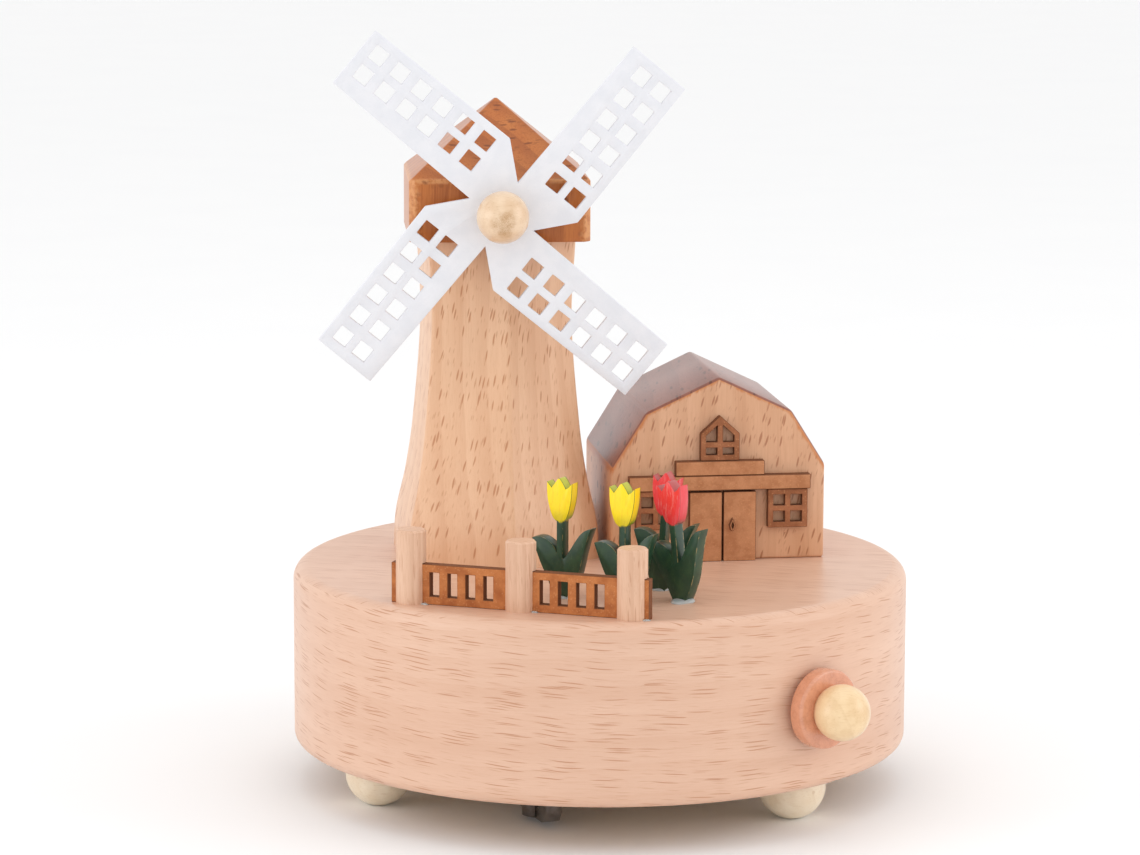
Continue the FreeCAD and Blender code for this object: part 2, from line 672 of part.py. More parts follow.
for k in range(coils):
    r_mid = spring_in + (spring_out - spring_in) * (k / (coils - 1.0))
    rings.append(cut(rod(r_mid + strip / 2, d.barrel_h - 2.4, d.key_x, d.key_y, barrel_z + 1.0),
                     rod(r_mid - strip / 2, d.barrel_h, d.key_x, d.key_y, barrel_z)))
bridges = [block((spring_out - spring_in) / (coils - 1.0), 0.5, d.barrel_h - 2.4,
                 d.key_x + spring_in + (spring_out - spring_in) * (k / (coils - 1.0)),
                 d.key_y - 0.25, barrel_z + 1.0) for k in range(0, coils - 1)]
node(fuse(*(rings + bridges)), "mainspring")

key_low = as_size(1.0)
arbor_top = barrel_top + 0.4
node(fuse(rod(d.key_arbor_r, arbor_top - (under - 6.0), d.key_x, d.key_y, under - 6.0),
          rod(3.3, 0.7, d.key_x, d.key_y, plate_z - 1.2),
          rod(3.0, 0.8, d.key_x, d.key_y, arbor_top - 0.4)), "winding_arbor")
wing = new_body("winding_key_body")
lobe_h = under - 1.2 - key_low
sketch = sketch_on(wing, "XZ_Plane")
polygon(sketch, [(-3.0, lobe_h), (-4.6, lobe_h - 1.4), (-9.0, lobe_h - 0.9), (-10.2, lobe_h - 2.2),
                 (-10.0, lobe_h * 0.34), (-8.8, lobe_h * 0.1), (-6.6, 0), (6.6, 0),
                 (8.8, lobe_h * 0.1), (10.0, lobe_h * 0.34), (10.2, lobe_h - 2.2),
                 (9.0, lobe_h - 0.9), (4.6, lobe_h - 1.4), (3.0, lobe_h)])
feature = pad(wing, sketch, 3.0)
feature.Midplane = True
place(wing, d.key_x, d.key_y, key_low, yaw=d.key_yaw)
node(cut(fuse(wing, rod(3.1, lobe_h, d.key_x, d.key_y, key_low)),
         rod(d.key_arbor_r, 12, d.key_x, d.key_y, under - 6.0)), "winding_key")

# ------------------------------------------------------------------------------------------
# Tune cylinder, comb and air brake
# ------------------------------------------------------------------------------------------
drum_pins = []
pin_pitch = (d.tune_l - 3.0) / (d.comb_teeth - 1)
for tooth in range(SIZES["comb_teeth"]):
    for turn_index in range(3):
        angle = (tooth * 67.0 + turn_index * 113.0 + (tooth % 5) * 21.0) % 360.0
        # -Z of the rotated pin frame runs out of the cylinder surface
        spin = Rotation(Vector(1, 0, 0), angle)
        pin = rod(0.28, d.tune_r + d.pin_h, tune_x + 1.5 + pin_pitch * tooth, d.key_y, tune_z, spin,
                  "tune_pin")
        drum_pins.append(pin)
tune_solid = fuse(rod(d.tune_r, d.tune_l, tune_x, d.key_y, tune_z, SIDEWAYS), *drum_pins)
node(cut(tune_solid, rod(1.2, d.tune_l + 2, tune_x - 1, d.key_y, tune_z, SIDEWAYS)),
     "tune_cylinder")
arbor_x0 = d.key_x + crown_pitch - 1.4
fan_crown_x = tune_end + 2.6
node(rod(1.2, fan_crown_x + 1.2 - arbor_x0, arbor_x0, d.key_y, tune_z, SIDEWAYS), "tune_arbor")
drive_pinion = spur_wheel("drive_pinion_body", d.spur_module, d.drive_pinion_teeth, 0.0, 2.4, 1.2)
place(drive_pinion, d.key_x + crown_pitch - 1.2, d.key_y, tune_z, SIDEWAYS)
node(drive_pinion, "drive_pinion")


frame_x0, frame_x1 = d.key_x + flange_r + 1.2, tune_end + 2.0
frame_h = tune_z + 3.0 - plate_top
frame_gap = frame_x1 - frame_x0 - 2.8
node(cut(block(frame_x1 - frame_x0, 6.0, frame_h, frame_x0, d.key_y - 3.0, plate_top),
         block(frame_gap, 8.0, frame_h, frame_x0 + 1.4, d.key_y - 4.0, plate_top + 1.0),
         rod(1.2 + d.running_gap, frame_x1 - frame_x0 + 2, frame_x0 - 1, d.key_y, tune_z,
             SIDEWAYS)), "tune_frame")
fan_crown = crown_wheel("fan_crown_body", d.fan_module, d.fan_crown_teeth,
                        180.0 / SIZES["fan_crown_teeth"], 1.0, 1.2, 1.5)
place(fan_crown, fan_crown_x, d.key_y, tune_z, SIDEWAYS)
node(fan_crown, "fan_crown_wheel")
fan_pitch = d.fan_module * d.fan_pinion_teeth / 2
fan_crown_pitch = d.fan_module * d.fan_crown_teeth / 2
fan_x = fan_crown_x + 1.0 + DEDENDUM * d.fan_module + fan_pitch
fan_pinion = spur_wheel("fan_pinion_body", d.fan_module, d.fan_pinion_teeth, 180.0, 1.8, 0.7)
place(fan_pinion, fan_x, d.key_y, tune_z - fan_crown_pitch - 0.9)
fan_top = tune_z - fan_crown_pitch + 2.6
node(fuse(fan_pinion, rod(0.7, fan_top - plate_z - 0.8, fan_x, d.key_y, plate_z + 0.8)),
     "fan_arbor")
blade_h = tune_z - fan_crown_pitch - 1.6 - (plate_top + 1.6)
blades = block(8.0, 0.5, blade_h, fan_x - 4.0, d.key_y - 0.25, plate_top + 1.6)
sleeve = rod(1.5, blade_h, fan_x, d.key_y, plate_top + 1.6)
node(cut(fuse(blades, sleeve), rod(0.7, 20, fan_x, d.key_y, plate_top)), "air_brake_fan")
fan_pivot = rod(0.7 + d.running_gap, d.plate_t, fan_x, d.key_y, plate_z + 0.7)
node(cut(plate, fan_pivot), "movement_plate")
foot_x = fan_x + 4.9
bracket = fuse(block(1.4, 5.0, fan_top - plate_top + 0.6, foot_x, d.key_y - 2.5, plate_top),
               block(foot_x - fan_x + 2.6, 3.0, 1.4, fan_x - 1.2, d.key_y - 1.5, fan_top - 0.8))
node(cut(bracket, rod(0.7 + d.running_gap, 1.4, fan_x, d.key_y, fan_top - 1.2)), "fan_bracket")

comb_z = tune_z
comb_y = d.key_y + d.tune_r + d.pin_h + 0.2
comb = new_body("comb_body")
comb_w = d.tune_l - 1.6
sketch = sketch_on(comb)
polygon(sketch, [(0, 9.0), (comb_w, 9.0), (comb_w, 15.0), (0, 15.0)])
ring(sketch, 0.6, 3.2, 12.2)
ring(sketch, 0.6, comb_w - 3.2, 12.2)
pad(comb, sketch, 1.0)
sketch = sketch_on(comb)
first = d.comb_teeth * 0.0 + 0.45
polygon(sketch, [(first, 0), (first + 0.5, 0), (first + 0.5, 9.5), (first, 9.5)])
along(comb, pad(comb, sketch, 0.5), sketch, pin_pitch * (d.comb_teeth - 1), d.comb_teeth)
place(comb, tune_x + 0.8, comb_y, comb_z)
node(comb, "comb")
comb_x = tune_x + 0.8
comb_screw_at = [(comb_x + x, comb_y + 12.2) for x in (as_size(3.2), comb_w - 3.2)]
node(cut(block(comb_w, 5.6, comb_z - plate_top, comb_x, comb_y + 9.2, plate_top),
         *[rod(0.6, 4.0, x, y, comb_z - 3.6) for x, y in comb_screw_at]), "comb_base")


def machine_screw(x, y, z):
    """Small cheese-head screw pointing down, head resting at z."""
    slot = block(3.0, 0.4, 0.5, x - 1.5, y - 0.2, z + 0.55)
    return cut(fuse(rod(1.3, 0.9, x, y, z), rod(0.54, 4.0, x, y, z - 4.0)), slot)


plate_screw_at = [(d.key_x + x, d.key_y + y) for x, y in PLATE_SCREWS]
node(together(*([machine_screw(x, y, plate_top) for x, y in plate_screw_at] +
                [machine_screw(x, y, comb_z + 1.0) for x, y in comb_screw_at])),
     "movement_screws")

# ------------------------------------------------------------------------------------------
# Stop knob
# ------------------------------------------------------------------------------------------
def on_knob_axis(rho):
    return out_x * rho, out_y * rho


spindle_in, spindle_out = d.well_r - 2.2, d.drum_r + d.knob_gap + d.knob_t + 2.0
x, y = on_knob_axis(spindle_in)
node(rod(d.spindle_r, spindle_out - spindle_in, x, y, knob_z, KNOB_TURN), "knob_spindle")
bush_len = root(d.drum_r * d.drum_r - d.bush_r * d.bush_r) - d.well_r
x, y = on_knob_axis(d.well_r)
node(cut(rod(d.bush_r, bush_len, x, y, knob_z, KNOB_TURN),
         rod(d.spindle_r + d.running_gap, 30, *on_knob_axis(d.well_r - 5), knob_z, KNOB_TURN)),
     "knob_bush")
disc = new_body("knob_disc_body")
feature = turned(disc, [(d.spindle_r, 0), (d.knob_r, 0), (d.knob_r, d.knob_t),
                        (d.knob_r - 1.9, d.knob_t), (d.knob_r - 2.3, d.knob_t - 0.5),
                        (d.spindle_r, d.knob_t - 0.5)])


def disc_rim(edge):
    """Test for the two outer edges of the knob disc."""
    box = edge.BoundBox
    return abs(box.XLength - 2 * SIZES["knob_r"]) < 0.1 and box.ZLength < 0.01


round_edges(disc, feature, 0.9, disc_rim)
place(disc, *on_knob_axis(d.drum_r + d.knob_gap), knob_z, KNOB_TURN)
node(disc, "knob_disc")
ball_rho = d.drum_r + d.knob_gap + d.knob_t - 0.5 + d.knob_ball_r - 1.6
bead = ball(d.knob_ball_r, *on_knob_axis(ball_rho), knob_z, KNOB_TURN)
behind = rod(d.knob_r, 8, *on_knob_axis(d.drum_r + d.knob_gap + d.knob_t - 8.5), knob_z, KNOB_TURN)
bored = rod(d.spindle_r, 9, *on_knob_axis(spindle_out - 9), knob_z, KNOB_TURN)
node(cut(bead, behind, bored), "knob_ball")
arm_len = as_size(8.0)
hub = rod(2.0, 1.2, *on_knob_axis(spindle_in), knob_z, KNOB_TURN)
arm = block(1.2, 1.8, arm_len, out_x * spindle_in + out_y * 0.9, out_y * spindle_in - out_x * 0.9,
            knob_z - arm_len, yaw=d.knob_yaw)
finger = rod(0.55, 2.6, *on_knob_axis(spindle_in - 1.4), knob_z - arm_len + 0.6, KNOB_TURN)
node(cut(fuse(hub, arm, finger), rod(d.spindle_r, 8, *on_knob_axis(spindle_in - 0.0), knob_z,
                                     KNOB_TURN)), "stop_arm")

# ------------------------------------------------------------------------------------------
# Barn
# ------------------------------------------------------------------------------------------
barn = new_body("barn_block_body")
sketch = sketch_on(barn, "XZ_Plane")
barn_half = d.barn_w / 2
polygon(sketch, [(-barn_half, 0), (barn_half, 0), (barn_half, d.wall_h), (d.knee_x, d.knee_h),
                 (0, d.ridge_h), (-d.knee_x, d.knee_h), (-barn_half, d.wall_h)])
feature = pad(barn, sketch, d.barn_l)
feature.Reversed = True
place(barn, d.barn_x, d.barn_y, deck, yaw=d.barn_yaw)
node(barn, "barn_block")


def front_plate(name, outlines, thickness, stand=0.0):
    """Plate on the barn front: x across from the ridge line, y up from the deck."""
    body = new_body(name + "_body")
    sketch = sketch_on(body, "XZ_Plane", lift=stand)
    for points in outlines:
        polygon(sketch, points)
    pad(body, sketch, thickness)
    return place(body, d.barn_x, d.barn_y, deck, yaw=d.barn_yaw)


def barn_trim(name, outlines, thickness=d.trim_t):
    return node(front_plate(name, outlines, thickness), name)


def rect(x0, y0, x1, y1):
    return [(x0, y0), (x1, y0), (x1, y1), (x0, y1)]


def framed(x0, y0, width, height, bar=1.1):
    """A window frame with a cross: outer outline and four panes."""
    pane_w, pane_h = (width - 3 * bar) / 2, (height - 3 * bar) / 2
    panes = []
    for i in range(2):
        for j in range(2):
            left, low = x0 + bar + i * (pane_w + bar), y0 + bar + j * (pane_h + bar)
            panes.append(rect(left, low, left + pane_w, low + pane_h))
    return [rect(x0, y0, x0 + width, y0 + height)] + panes


LINTEL_Z = 17.15
barn_trim("barn_door_left", [rect(d.door_x - 6.6, 0, d.door_x - 0.15, 13.8)],
          thickness=as_size(1.6))
ring_pull = front_plate(
    "ring_pull", [[(d.door_x + x, z) for x, z in ring] for ring in (
        [(1.25, 7.3), (1.45, 6.35), (1.85, 6.05), (2.25, 6.35), (2.45, 7.3), (1.85, 8.6)],
        [(1.6, 7.2), (1.85, 6.5), (2.1, 7.2), (1.85, 7.9)])], 0.7, stand=1.6)
node(fuse(front_plate("door_leaf", [rect(d.door_x + 0.15, 0, d.door_x + 6.6, 13.8)], 1.6),
          ring_pull), "barn_door_right")
barn_trim("barn_door_band", [rect(-18.0, 14.2, 18.0, 17.1)])
barn_trim("barn_gable_lintel", [rect(-8.8, LINTEL_Z, 8.8, LINTEL_Z + 2.85)])
barn_trim("barn_window_left", framed(-16.6, 6.5, 7.9, 7.65), thickness=as_size(1.6))
barn_trim("barn_window_right", framed(9.6, 6.5, 7.9, 7.65), thickness=as_size(1.6))
gable_low = LINTEL_Z + 2.9
gable = [(-3.85, gable_low), (3.85, gable_low), (3.85, 25.4), (0, 28.9), (-3.85, 25.4)]
gable_panes = [rect(-2.8, gable_low + 1.1, -0.55, 22.6), rect(0.55, gable_low + 1.1, 2.8, 22.6),
               [(-2.8, 23.7), (-0.55, 23.7), (-0.55, 27.0), (-2.8, 24.95)],
               [(0.55, 23.7), (2.8, 23.7), (2.8, 24.95), (0.55, 27.0)]]
barn_trim("barn_gable_window", [gable] + gable_panes, thickness=as_size(1.6))

# ------------------------------------------------------------------------------------------
# Fence
# ------------------------------------------------------------------------------------------
fence_run = d.post_pitch * 2
fence = new_body("fence_panel_body")
sketch = sketch_on(fence, "XZ_Plane", lift=-(d.fence_t / 2))
polygon(sketch, [(-d.fence_stub * 0.6, 0), (fence_run + d.fence_stub * 0.6, 0),
                 (fence_run + d.fence_stub * 0.6, d.fence_h), (-d.fence_stub * 0.6, d.fence_h)])
for bay in range(2):
    for i in range(4):
        left = d.post_pitch * bay + d.post_r + 1.2 + 3.55 * i
        polygon(sketch, [(left, 1.5), (left + 1.9, 1.5), (left + 1.9, 6.1), (left, 6.1)])
pad(fence, sketch, d.fence_t)
place(fence, d.fence_x, d.fence_y, deck, yaw=d.fence_yaw)
node(fence, "fence_panel")
for i, name in enumerate(("fence_post_left", "fence_post_middle", "fence_post_right")):
    post = new_body(name + "_body")
    tall = d.end_post_h if i == 0 else d.post_h
    feature = turned(post, [(0, 0), (d.post_r, 0), (d.post_r, tall - 0.35),
                            (d.post_r - 0.35, tall), (0, tall)])
    slot = sketch_on(post, "XZ_Plane", lift=-(d.fence_t / 2) - 0.05)
    wide = d.post_r + 1
    polygon(slot, [(-wide, -1), (wide, -1), (wide, d.fence_h + 0.1), (-wide, d.fence_h + 0.1)])
    slotted = pocket(post, slot, d.fence_t + 0.1)
    slotted.Reversed = True
    run = d.post_pitch * i
    place(post, d.fence_x + run * cosd(d.fence_yaw), d.fence_y + run * sind(d.fence_yaw), deck,
          yaw=d.fence_yaw)
    node(post, name)

# ------------------------------------------------------------------------------------------
# Tulips
# ------------------------------------------------------------------------------------------
TULIP = ((1.2, 0.0), (2.5, 1.7), (3.9, 4.8), (4.9, 8.8), (5.7, 11.5), (6.5, 13.6), (5.4, 13.3),
         (4.1, 12.2), (2.6, 10.0), (1.2, 7.9), (0.6, 7.5), (0.6, 14.6), (1.35, 15.2), (1.95, 16.9),
         (2.4, 19.2), (2.55, 21.9), (1.9, 21.2), (1.25, 20.8), (0.6, 21.9), (-0.2, 22.8),
         (-1.0, 21.8), (-1.7, 20.9), (-2.2, 21.5), (-2.65, 22.0), (-2.6, 19.4), (-2.1, 17.0),
         (-1.4, 15.3), (-0.6, 14.6), (-0.6, 8.5), (-1.6, 10.1), (-3.1, 11.1), (-4.5, 11.4),
         (-5.8, 11.1), (-5.0, 8.9), (-3.85, 6.1), (-2.4, 3.2), (-1.2, 0.0))
TULIPS = (("tulip_yellow_left", -9.7, -34.5, -31.0, 0.0),
          ("tulip_yellow_right", 1.5, -40.7, -31.0, 0.0),
          ("tulip_red_front", 12.4, -40.0, -42.0, -6.5), ("tulip_red_rear", 9.3, -28.8, -26.0, 4.0))
for name, x, y, yaw, lean in TULIPS:
    body = new_body(name + "_body")
    sketch = sketch_on(body, "XZ_Plane", lift=-(d.tulip_t / 2))
    scale = d.tulip_h / 22.8
    outline = []
    for px, pz in TULIP:
        if pz == 0.0:
            outline.append((scale * px, as_size(0)))
        else:
            outline.append((scale * (px * cosd(lean) + pz * sind(lean)),
                            scale * (pz * cosd(lean) - px * sind(lean))))
    polygon(sketch, outline)
    pad(body, sketch, d.tulip_t)
    place(body, x, y, deck, yaw=yaw)
    node(body, name)

# ------------------------------------------------------------------------------------------
# Checks and export
# ------------------------------------------------------------------------------------------
doc.recompute()
problems = []
for obj in doc.Objects:
    if any(state in ("Invalid", "Error") for state in obj.State):
        problems.append("%s (%s) is %s" % (obj.Name, obj.Label, obj.State))
for obj in NODES:
    if obj.Shape.isNull() or not obj.Shape.isValid() or not obj.Shape.Solids:
        problems.append("%s has no valid solid" % obj.Label)
for obj in doc.Objects:
    if obj.TypeId == "PartDesign::Pocket" and obj.BaseFeature is not None:
        if obj.BaseFeature.Shape.Volume - obj.Shape.Volume < 1.0:
            problems.append("%s removes nothing" % obj.Name)
if problems:
    raise RuntimeError("; ".join(problems))
for obj in NODES:
    obj.Shape.exportStep("parts/%s.step" % obj.Label)
    box = obj.Shape.BoundBox
    print("%-20s %2d solids %9.1f mm3  x %6.1f..%6.1f  y %6.1f..%6.1f  z %6.1f..%6.1f" % (
        obj.Label, len(obj.Shape.Solids), obj.Shape.Volume, box.XMin, box.XMax, box.YMin,
        box.YMax, box.ZMin, box.ZMax))
print(len(NODES), "pieces")
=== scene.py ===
import json
import math
import random

import bmesh
import bpy
from mathutils import Matrix, Vector


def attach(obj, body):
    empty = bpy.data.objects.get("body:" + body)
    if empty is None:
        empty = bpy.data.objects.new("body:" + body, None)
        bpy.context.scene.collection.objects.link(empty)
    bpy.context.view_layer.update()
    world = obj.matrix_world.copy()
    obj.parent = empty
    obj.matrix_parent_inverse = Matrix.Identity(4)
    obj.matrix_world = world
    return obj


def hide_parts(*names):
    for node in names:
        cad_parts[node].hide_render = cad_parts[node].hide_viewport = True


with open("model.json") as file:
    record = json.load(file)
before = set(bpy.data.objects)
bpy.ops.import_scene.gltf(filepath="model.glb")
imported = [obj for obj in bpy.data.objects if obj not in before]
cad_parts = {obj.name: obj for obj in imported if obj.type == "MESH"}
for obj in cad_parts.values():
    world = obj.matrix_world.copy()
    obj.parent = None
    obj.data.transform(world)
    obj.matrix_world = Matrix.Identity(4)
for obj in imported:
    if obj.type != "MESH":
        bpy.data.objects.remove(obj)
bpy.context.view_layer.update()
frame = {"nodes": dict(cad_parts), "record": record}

# Wind-up music box with a windmill, a barn, a fence and tulips on a turned drum.
# Blender works in metres: z = 0 is the table and the sails face -Y. Sizes written here
# are millimetres unless they say otherwise.

MM = 0.001
nodes = frame["nodes"]
body_names = {}
for body, members in frame["record"]["behaviour"]["bodies"].items():
    for member in members:
        body_names[member] = body
slots = {s["node"]: s["material_slot"] for s in frame["record"]["subparts"]}

# Driving places and sizes of the CAD model, in millimetres and degrees
DECK = 43.8
DRUM_R = 60.0
TOWER_AT, TOWER_YAW, TOWER_H = (-19.9, 11.3), 6.5, 63.6
TOWER_BORE_R = 4.5
CAP_HALF, CAP_Z, CAP_H = 17.45, 107.4, 11.8
AXLE_Z = 113.3
HUB_AT = (-19.9, -15.75, AXLE_Z)
BARN_AT, BARN_YAW = (23.2, -0.6, DECK), 3.9
FENCE_AT, FENCE_YAW, POST_PITCH = (-38.2, -37.7), -23.0, 21.7
KEY_AT = (-14.0, -30.8)
KNOB_YAW, KNOB_Z, KNOB_GAP = -52.5, 25.2, 1.0
KNOB_R, KNOB_T, SPINDLE_R = 7.5, 3.0, 1.5
KNOB_BALL_AT = (41.2, -53.7, KNOB_Z)
TULIP_HALF = 1.3


# ------------------------------------------------------------------------------------------
# Node graphs
# ------------------------------------------------------------------------------------------
def srgb(r, g, b):
    """Linear colour from 0-255 display values."""
    out = []
    for c in (r, g, b):
        c /= 255.0
        out.append(c / 12.92 if c <= 0.04045 else ((c + 0.055) / 1.055) ** 2.4)
    return (*out, 1.0)


class Graph:
    """A material being wired up, with short names for the nodes used here."""

    def __init__(self, name):
        """Start with a wired shader, the place in millimetres and the surface normal."""
        self.material = bpy.data.materials.new(name)
        self.material.use_nodes = True
        self.tree = self.material.node_tree
        self.tree.nodes.clear()
        output = self.add("ShaderNodeOutputMaterial")
        self.shader = self.add("ShaderNodeBsdfPrincipled")
        self.tree.links.new(self.shader.outputs[0], output.inputs["Surface"])
        coords = self.add("ShaderNodeTexCoord").outputs
        self.place = self.vector("SCALE", coords["Object"], scale=1000.0)      # millimetres
        self.normal = coords["Normal"]

    def add(self, kind):
        """A new node of this kind."""
        return self.tree.nodes.new(kind)

    def feed(self, socket, value):
        """Link a socket, or set it to a fixed value."""
        if isinstance(value, bpy.types.NodeSocket):
            self.tree.links.new(value, socket)
        else:
            socket.default_value = value

    def math(self, op, a, b=0.0, c=0.0, clamp=False):
        """One arithmetic step."""
        node = self.add("ShaderNodeMath")
        node.operation = op
        node.use_clamp = clamp
        for socket, value in zip(node.inputs, (a, b, c)):
            self.feed(socket, value)
        return node.outputs[0]

    def vector(self, op, a, b=None, scale=None):
        """One vector step; gives a number for products, lengths and distances."""
        node = self.add("ShaderNodeVectorMath")
        node.operation = op
        self.feed(node.inputs[0], a)
        if b is not None:
            self.feed(node.inputs[1], b)
        if scale is not None:
            self.feed(node.inputs["Scale"], scale)
        return node.outputs["Value"] if op in ("DOT_PRODUCT", "LENGTH", "DISTANCE") \
            else node.outputs["Vector"]

    def axes(self, vector):
        """The three parts of a vector."""
        node = self.add("ShaderNodeSeparateXYZ")
        self.feed(node.inputs[0], vector)
        return node.outputs

    def join(self, x, y, z):
        """A vector from three parts."""
        node = self.add("ShaderNodeCombineXYZ")
        for socket, value in zip(node.inputs, (x, y, z)):
            self.feed(socket, value)
        return node.outputs[0]

    def turned(self, vector, angles, scale=(1, 1, 1), shift=(0, 0, 0)):
        """A vector scaled, turned by degrees and shifted."""
        node = self.add("ShaderNodeMapping")
        self.feed(node.inputs["Vector"], vector)
        node.inputs["Rotation"].default_value = [math.radians(a) for a in angles]
        node.inputs["Scale"].default_value = scale
        node.inputs["Location"].default_value = shift
        return node.outputs[0]

    def noise(self, vector, scale=1.0, detail=3.0, rough=0.5):
        """Fractal noise between 0 and 1."""
        node = self.add("ShaderNodeTexNoise")
        self.feed(node.inputs["Vector"], vector)
        node.inputs["Scale"].default_value = scale
        node.inputs["Detail"].default_value = detail
        node.inputs["Roughness"].default_value = rough
        return node.outputs["Fac"]

    def cells(self, vector, scale=1.0):
        """Voronoi distance and the per-cell random value."""
        node = self.add("ShaderNodeTexVoronoi")
        self.feed(node.inputs["Vector"], vector)
        node.inputs["Scale"].default_value = scale
        return node.outputs["Distance"], self.axes(node.outputs["Color"])[0]

    def band(self, value, low, high):
        """0 below low, 1 above high, smooth between; low may be above high."""
        node = self.add("ShaderNodeMapRange")
        node.interpolation_type = "SMOOTHSTEP"
        self.feed(node.inputs["Value"], value)
        swap = low > high
        node.inputs["From Min"].default_value = high if swap else low
        node.inputs["From Max"].default_value = low if swap else high
        node.inputs["To Min"].default_value = 1.0 if swap else 0.0
        node.inputs["To Max"].default_value = 0.0 if swap else 1.0
        return node.outputs[0]

    def blend(self, amount, a, b):
        """Colour a, or b where amount is 1."""
        node = self.add("ShaderNodeMix")
        node.data_type = "RGBA"
        node.clamp_factor = True
        self.feed(node.inputs[0], amount)
        self.feed(node.inputs[6], a)
        self.feed(node.inputs[7], b)
        return node.outputs[2]

    def choose(self, second, a, b):
        """Vector a, or b where second is 1."""
        node = self.add("ShaderNodeMix")
        node.data_type = "VECTOR"
        self.feed(node.inputs[0], second)
        self.feed(node.inputs[4], a)
        self.feed(node.inputs[5], b)
        return node.outputs[1]

    def finish(self, colour, rough, height=None, depth=0.1, bump=0.3, **fixed):
        """Feed the shader; fixed values are set on its own sockets."""
        self.feed(self.shader.inputs["Base Color"], colour)
        self.feed(self.shader.inputs["Roughness"], rough)
        if height is not None:
            node = self.add("ShaderNodeBump")
            node.inputs["Strength"].default_value = bump
            node.inputs["Distance"].default_value = depth * MM
            self.feed(node.inputs["Height"], height)
            self.tree.links.new(node.outputs[0], self.shader.inputs["Normal"])
        for name, value in fixed.items():
            self.shader.inputs[name.replace("_", " ")].default_value = value
        return self.material


GRAIN_TURN = {"X": (0, 0, 0), "Y": (0, 0, 90), "Z": (0, 90, 0)}


def grain_space(g, grain, tilt=(0, 0, 0), shift=(0, 0, 0)):
    """Coordinates in millimetres whose x runs along the wood's grain."""
    leaned = g.turned(g.place, tilt, shift=shift)
    return g.turned(leaned, GRAIN_TURN[grain])


def unrolled(g, centre, radius, upright):
    """A round body's skin laid flat, in millimetres: along the grain, across it, into it."""
    x, y, z = g.axes(g.vector("SUBTRACT", g.place, centre))
    turn = g.math("ARCTAN2", x, g.math("MULTIPLY", y, -1.0))
    girth = g.math("MULTIPLY", turn, radius)
    depth = g.vector("LENGTH", g.join(x, y, 0.0))
    return g.join(z, girth, depth) if upright else g.join(girth, z, depth)


def drum_space(g):
    """Grain round the drum's side and straight across its top."""
    side = unrolled(g, (0, 0, 0), DRUM_R, False)
    top = g.turned(g.place, (0, 0, 14), shift=(0, 0, 1.7))
    flat = g.math("GREATER_THAN", g.math("ABSOLUTE", g.axes(g.normal)[2]), 0.72)
    return g.choose(flat, side, top)


def tower_space(g):
    """Upright grain, with the six faces laid flat side by side."""
    return unrolled(g, (TOWER_AT[0], TOWER_AT[1], DECK), 20.0, True)


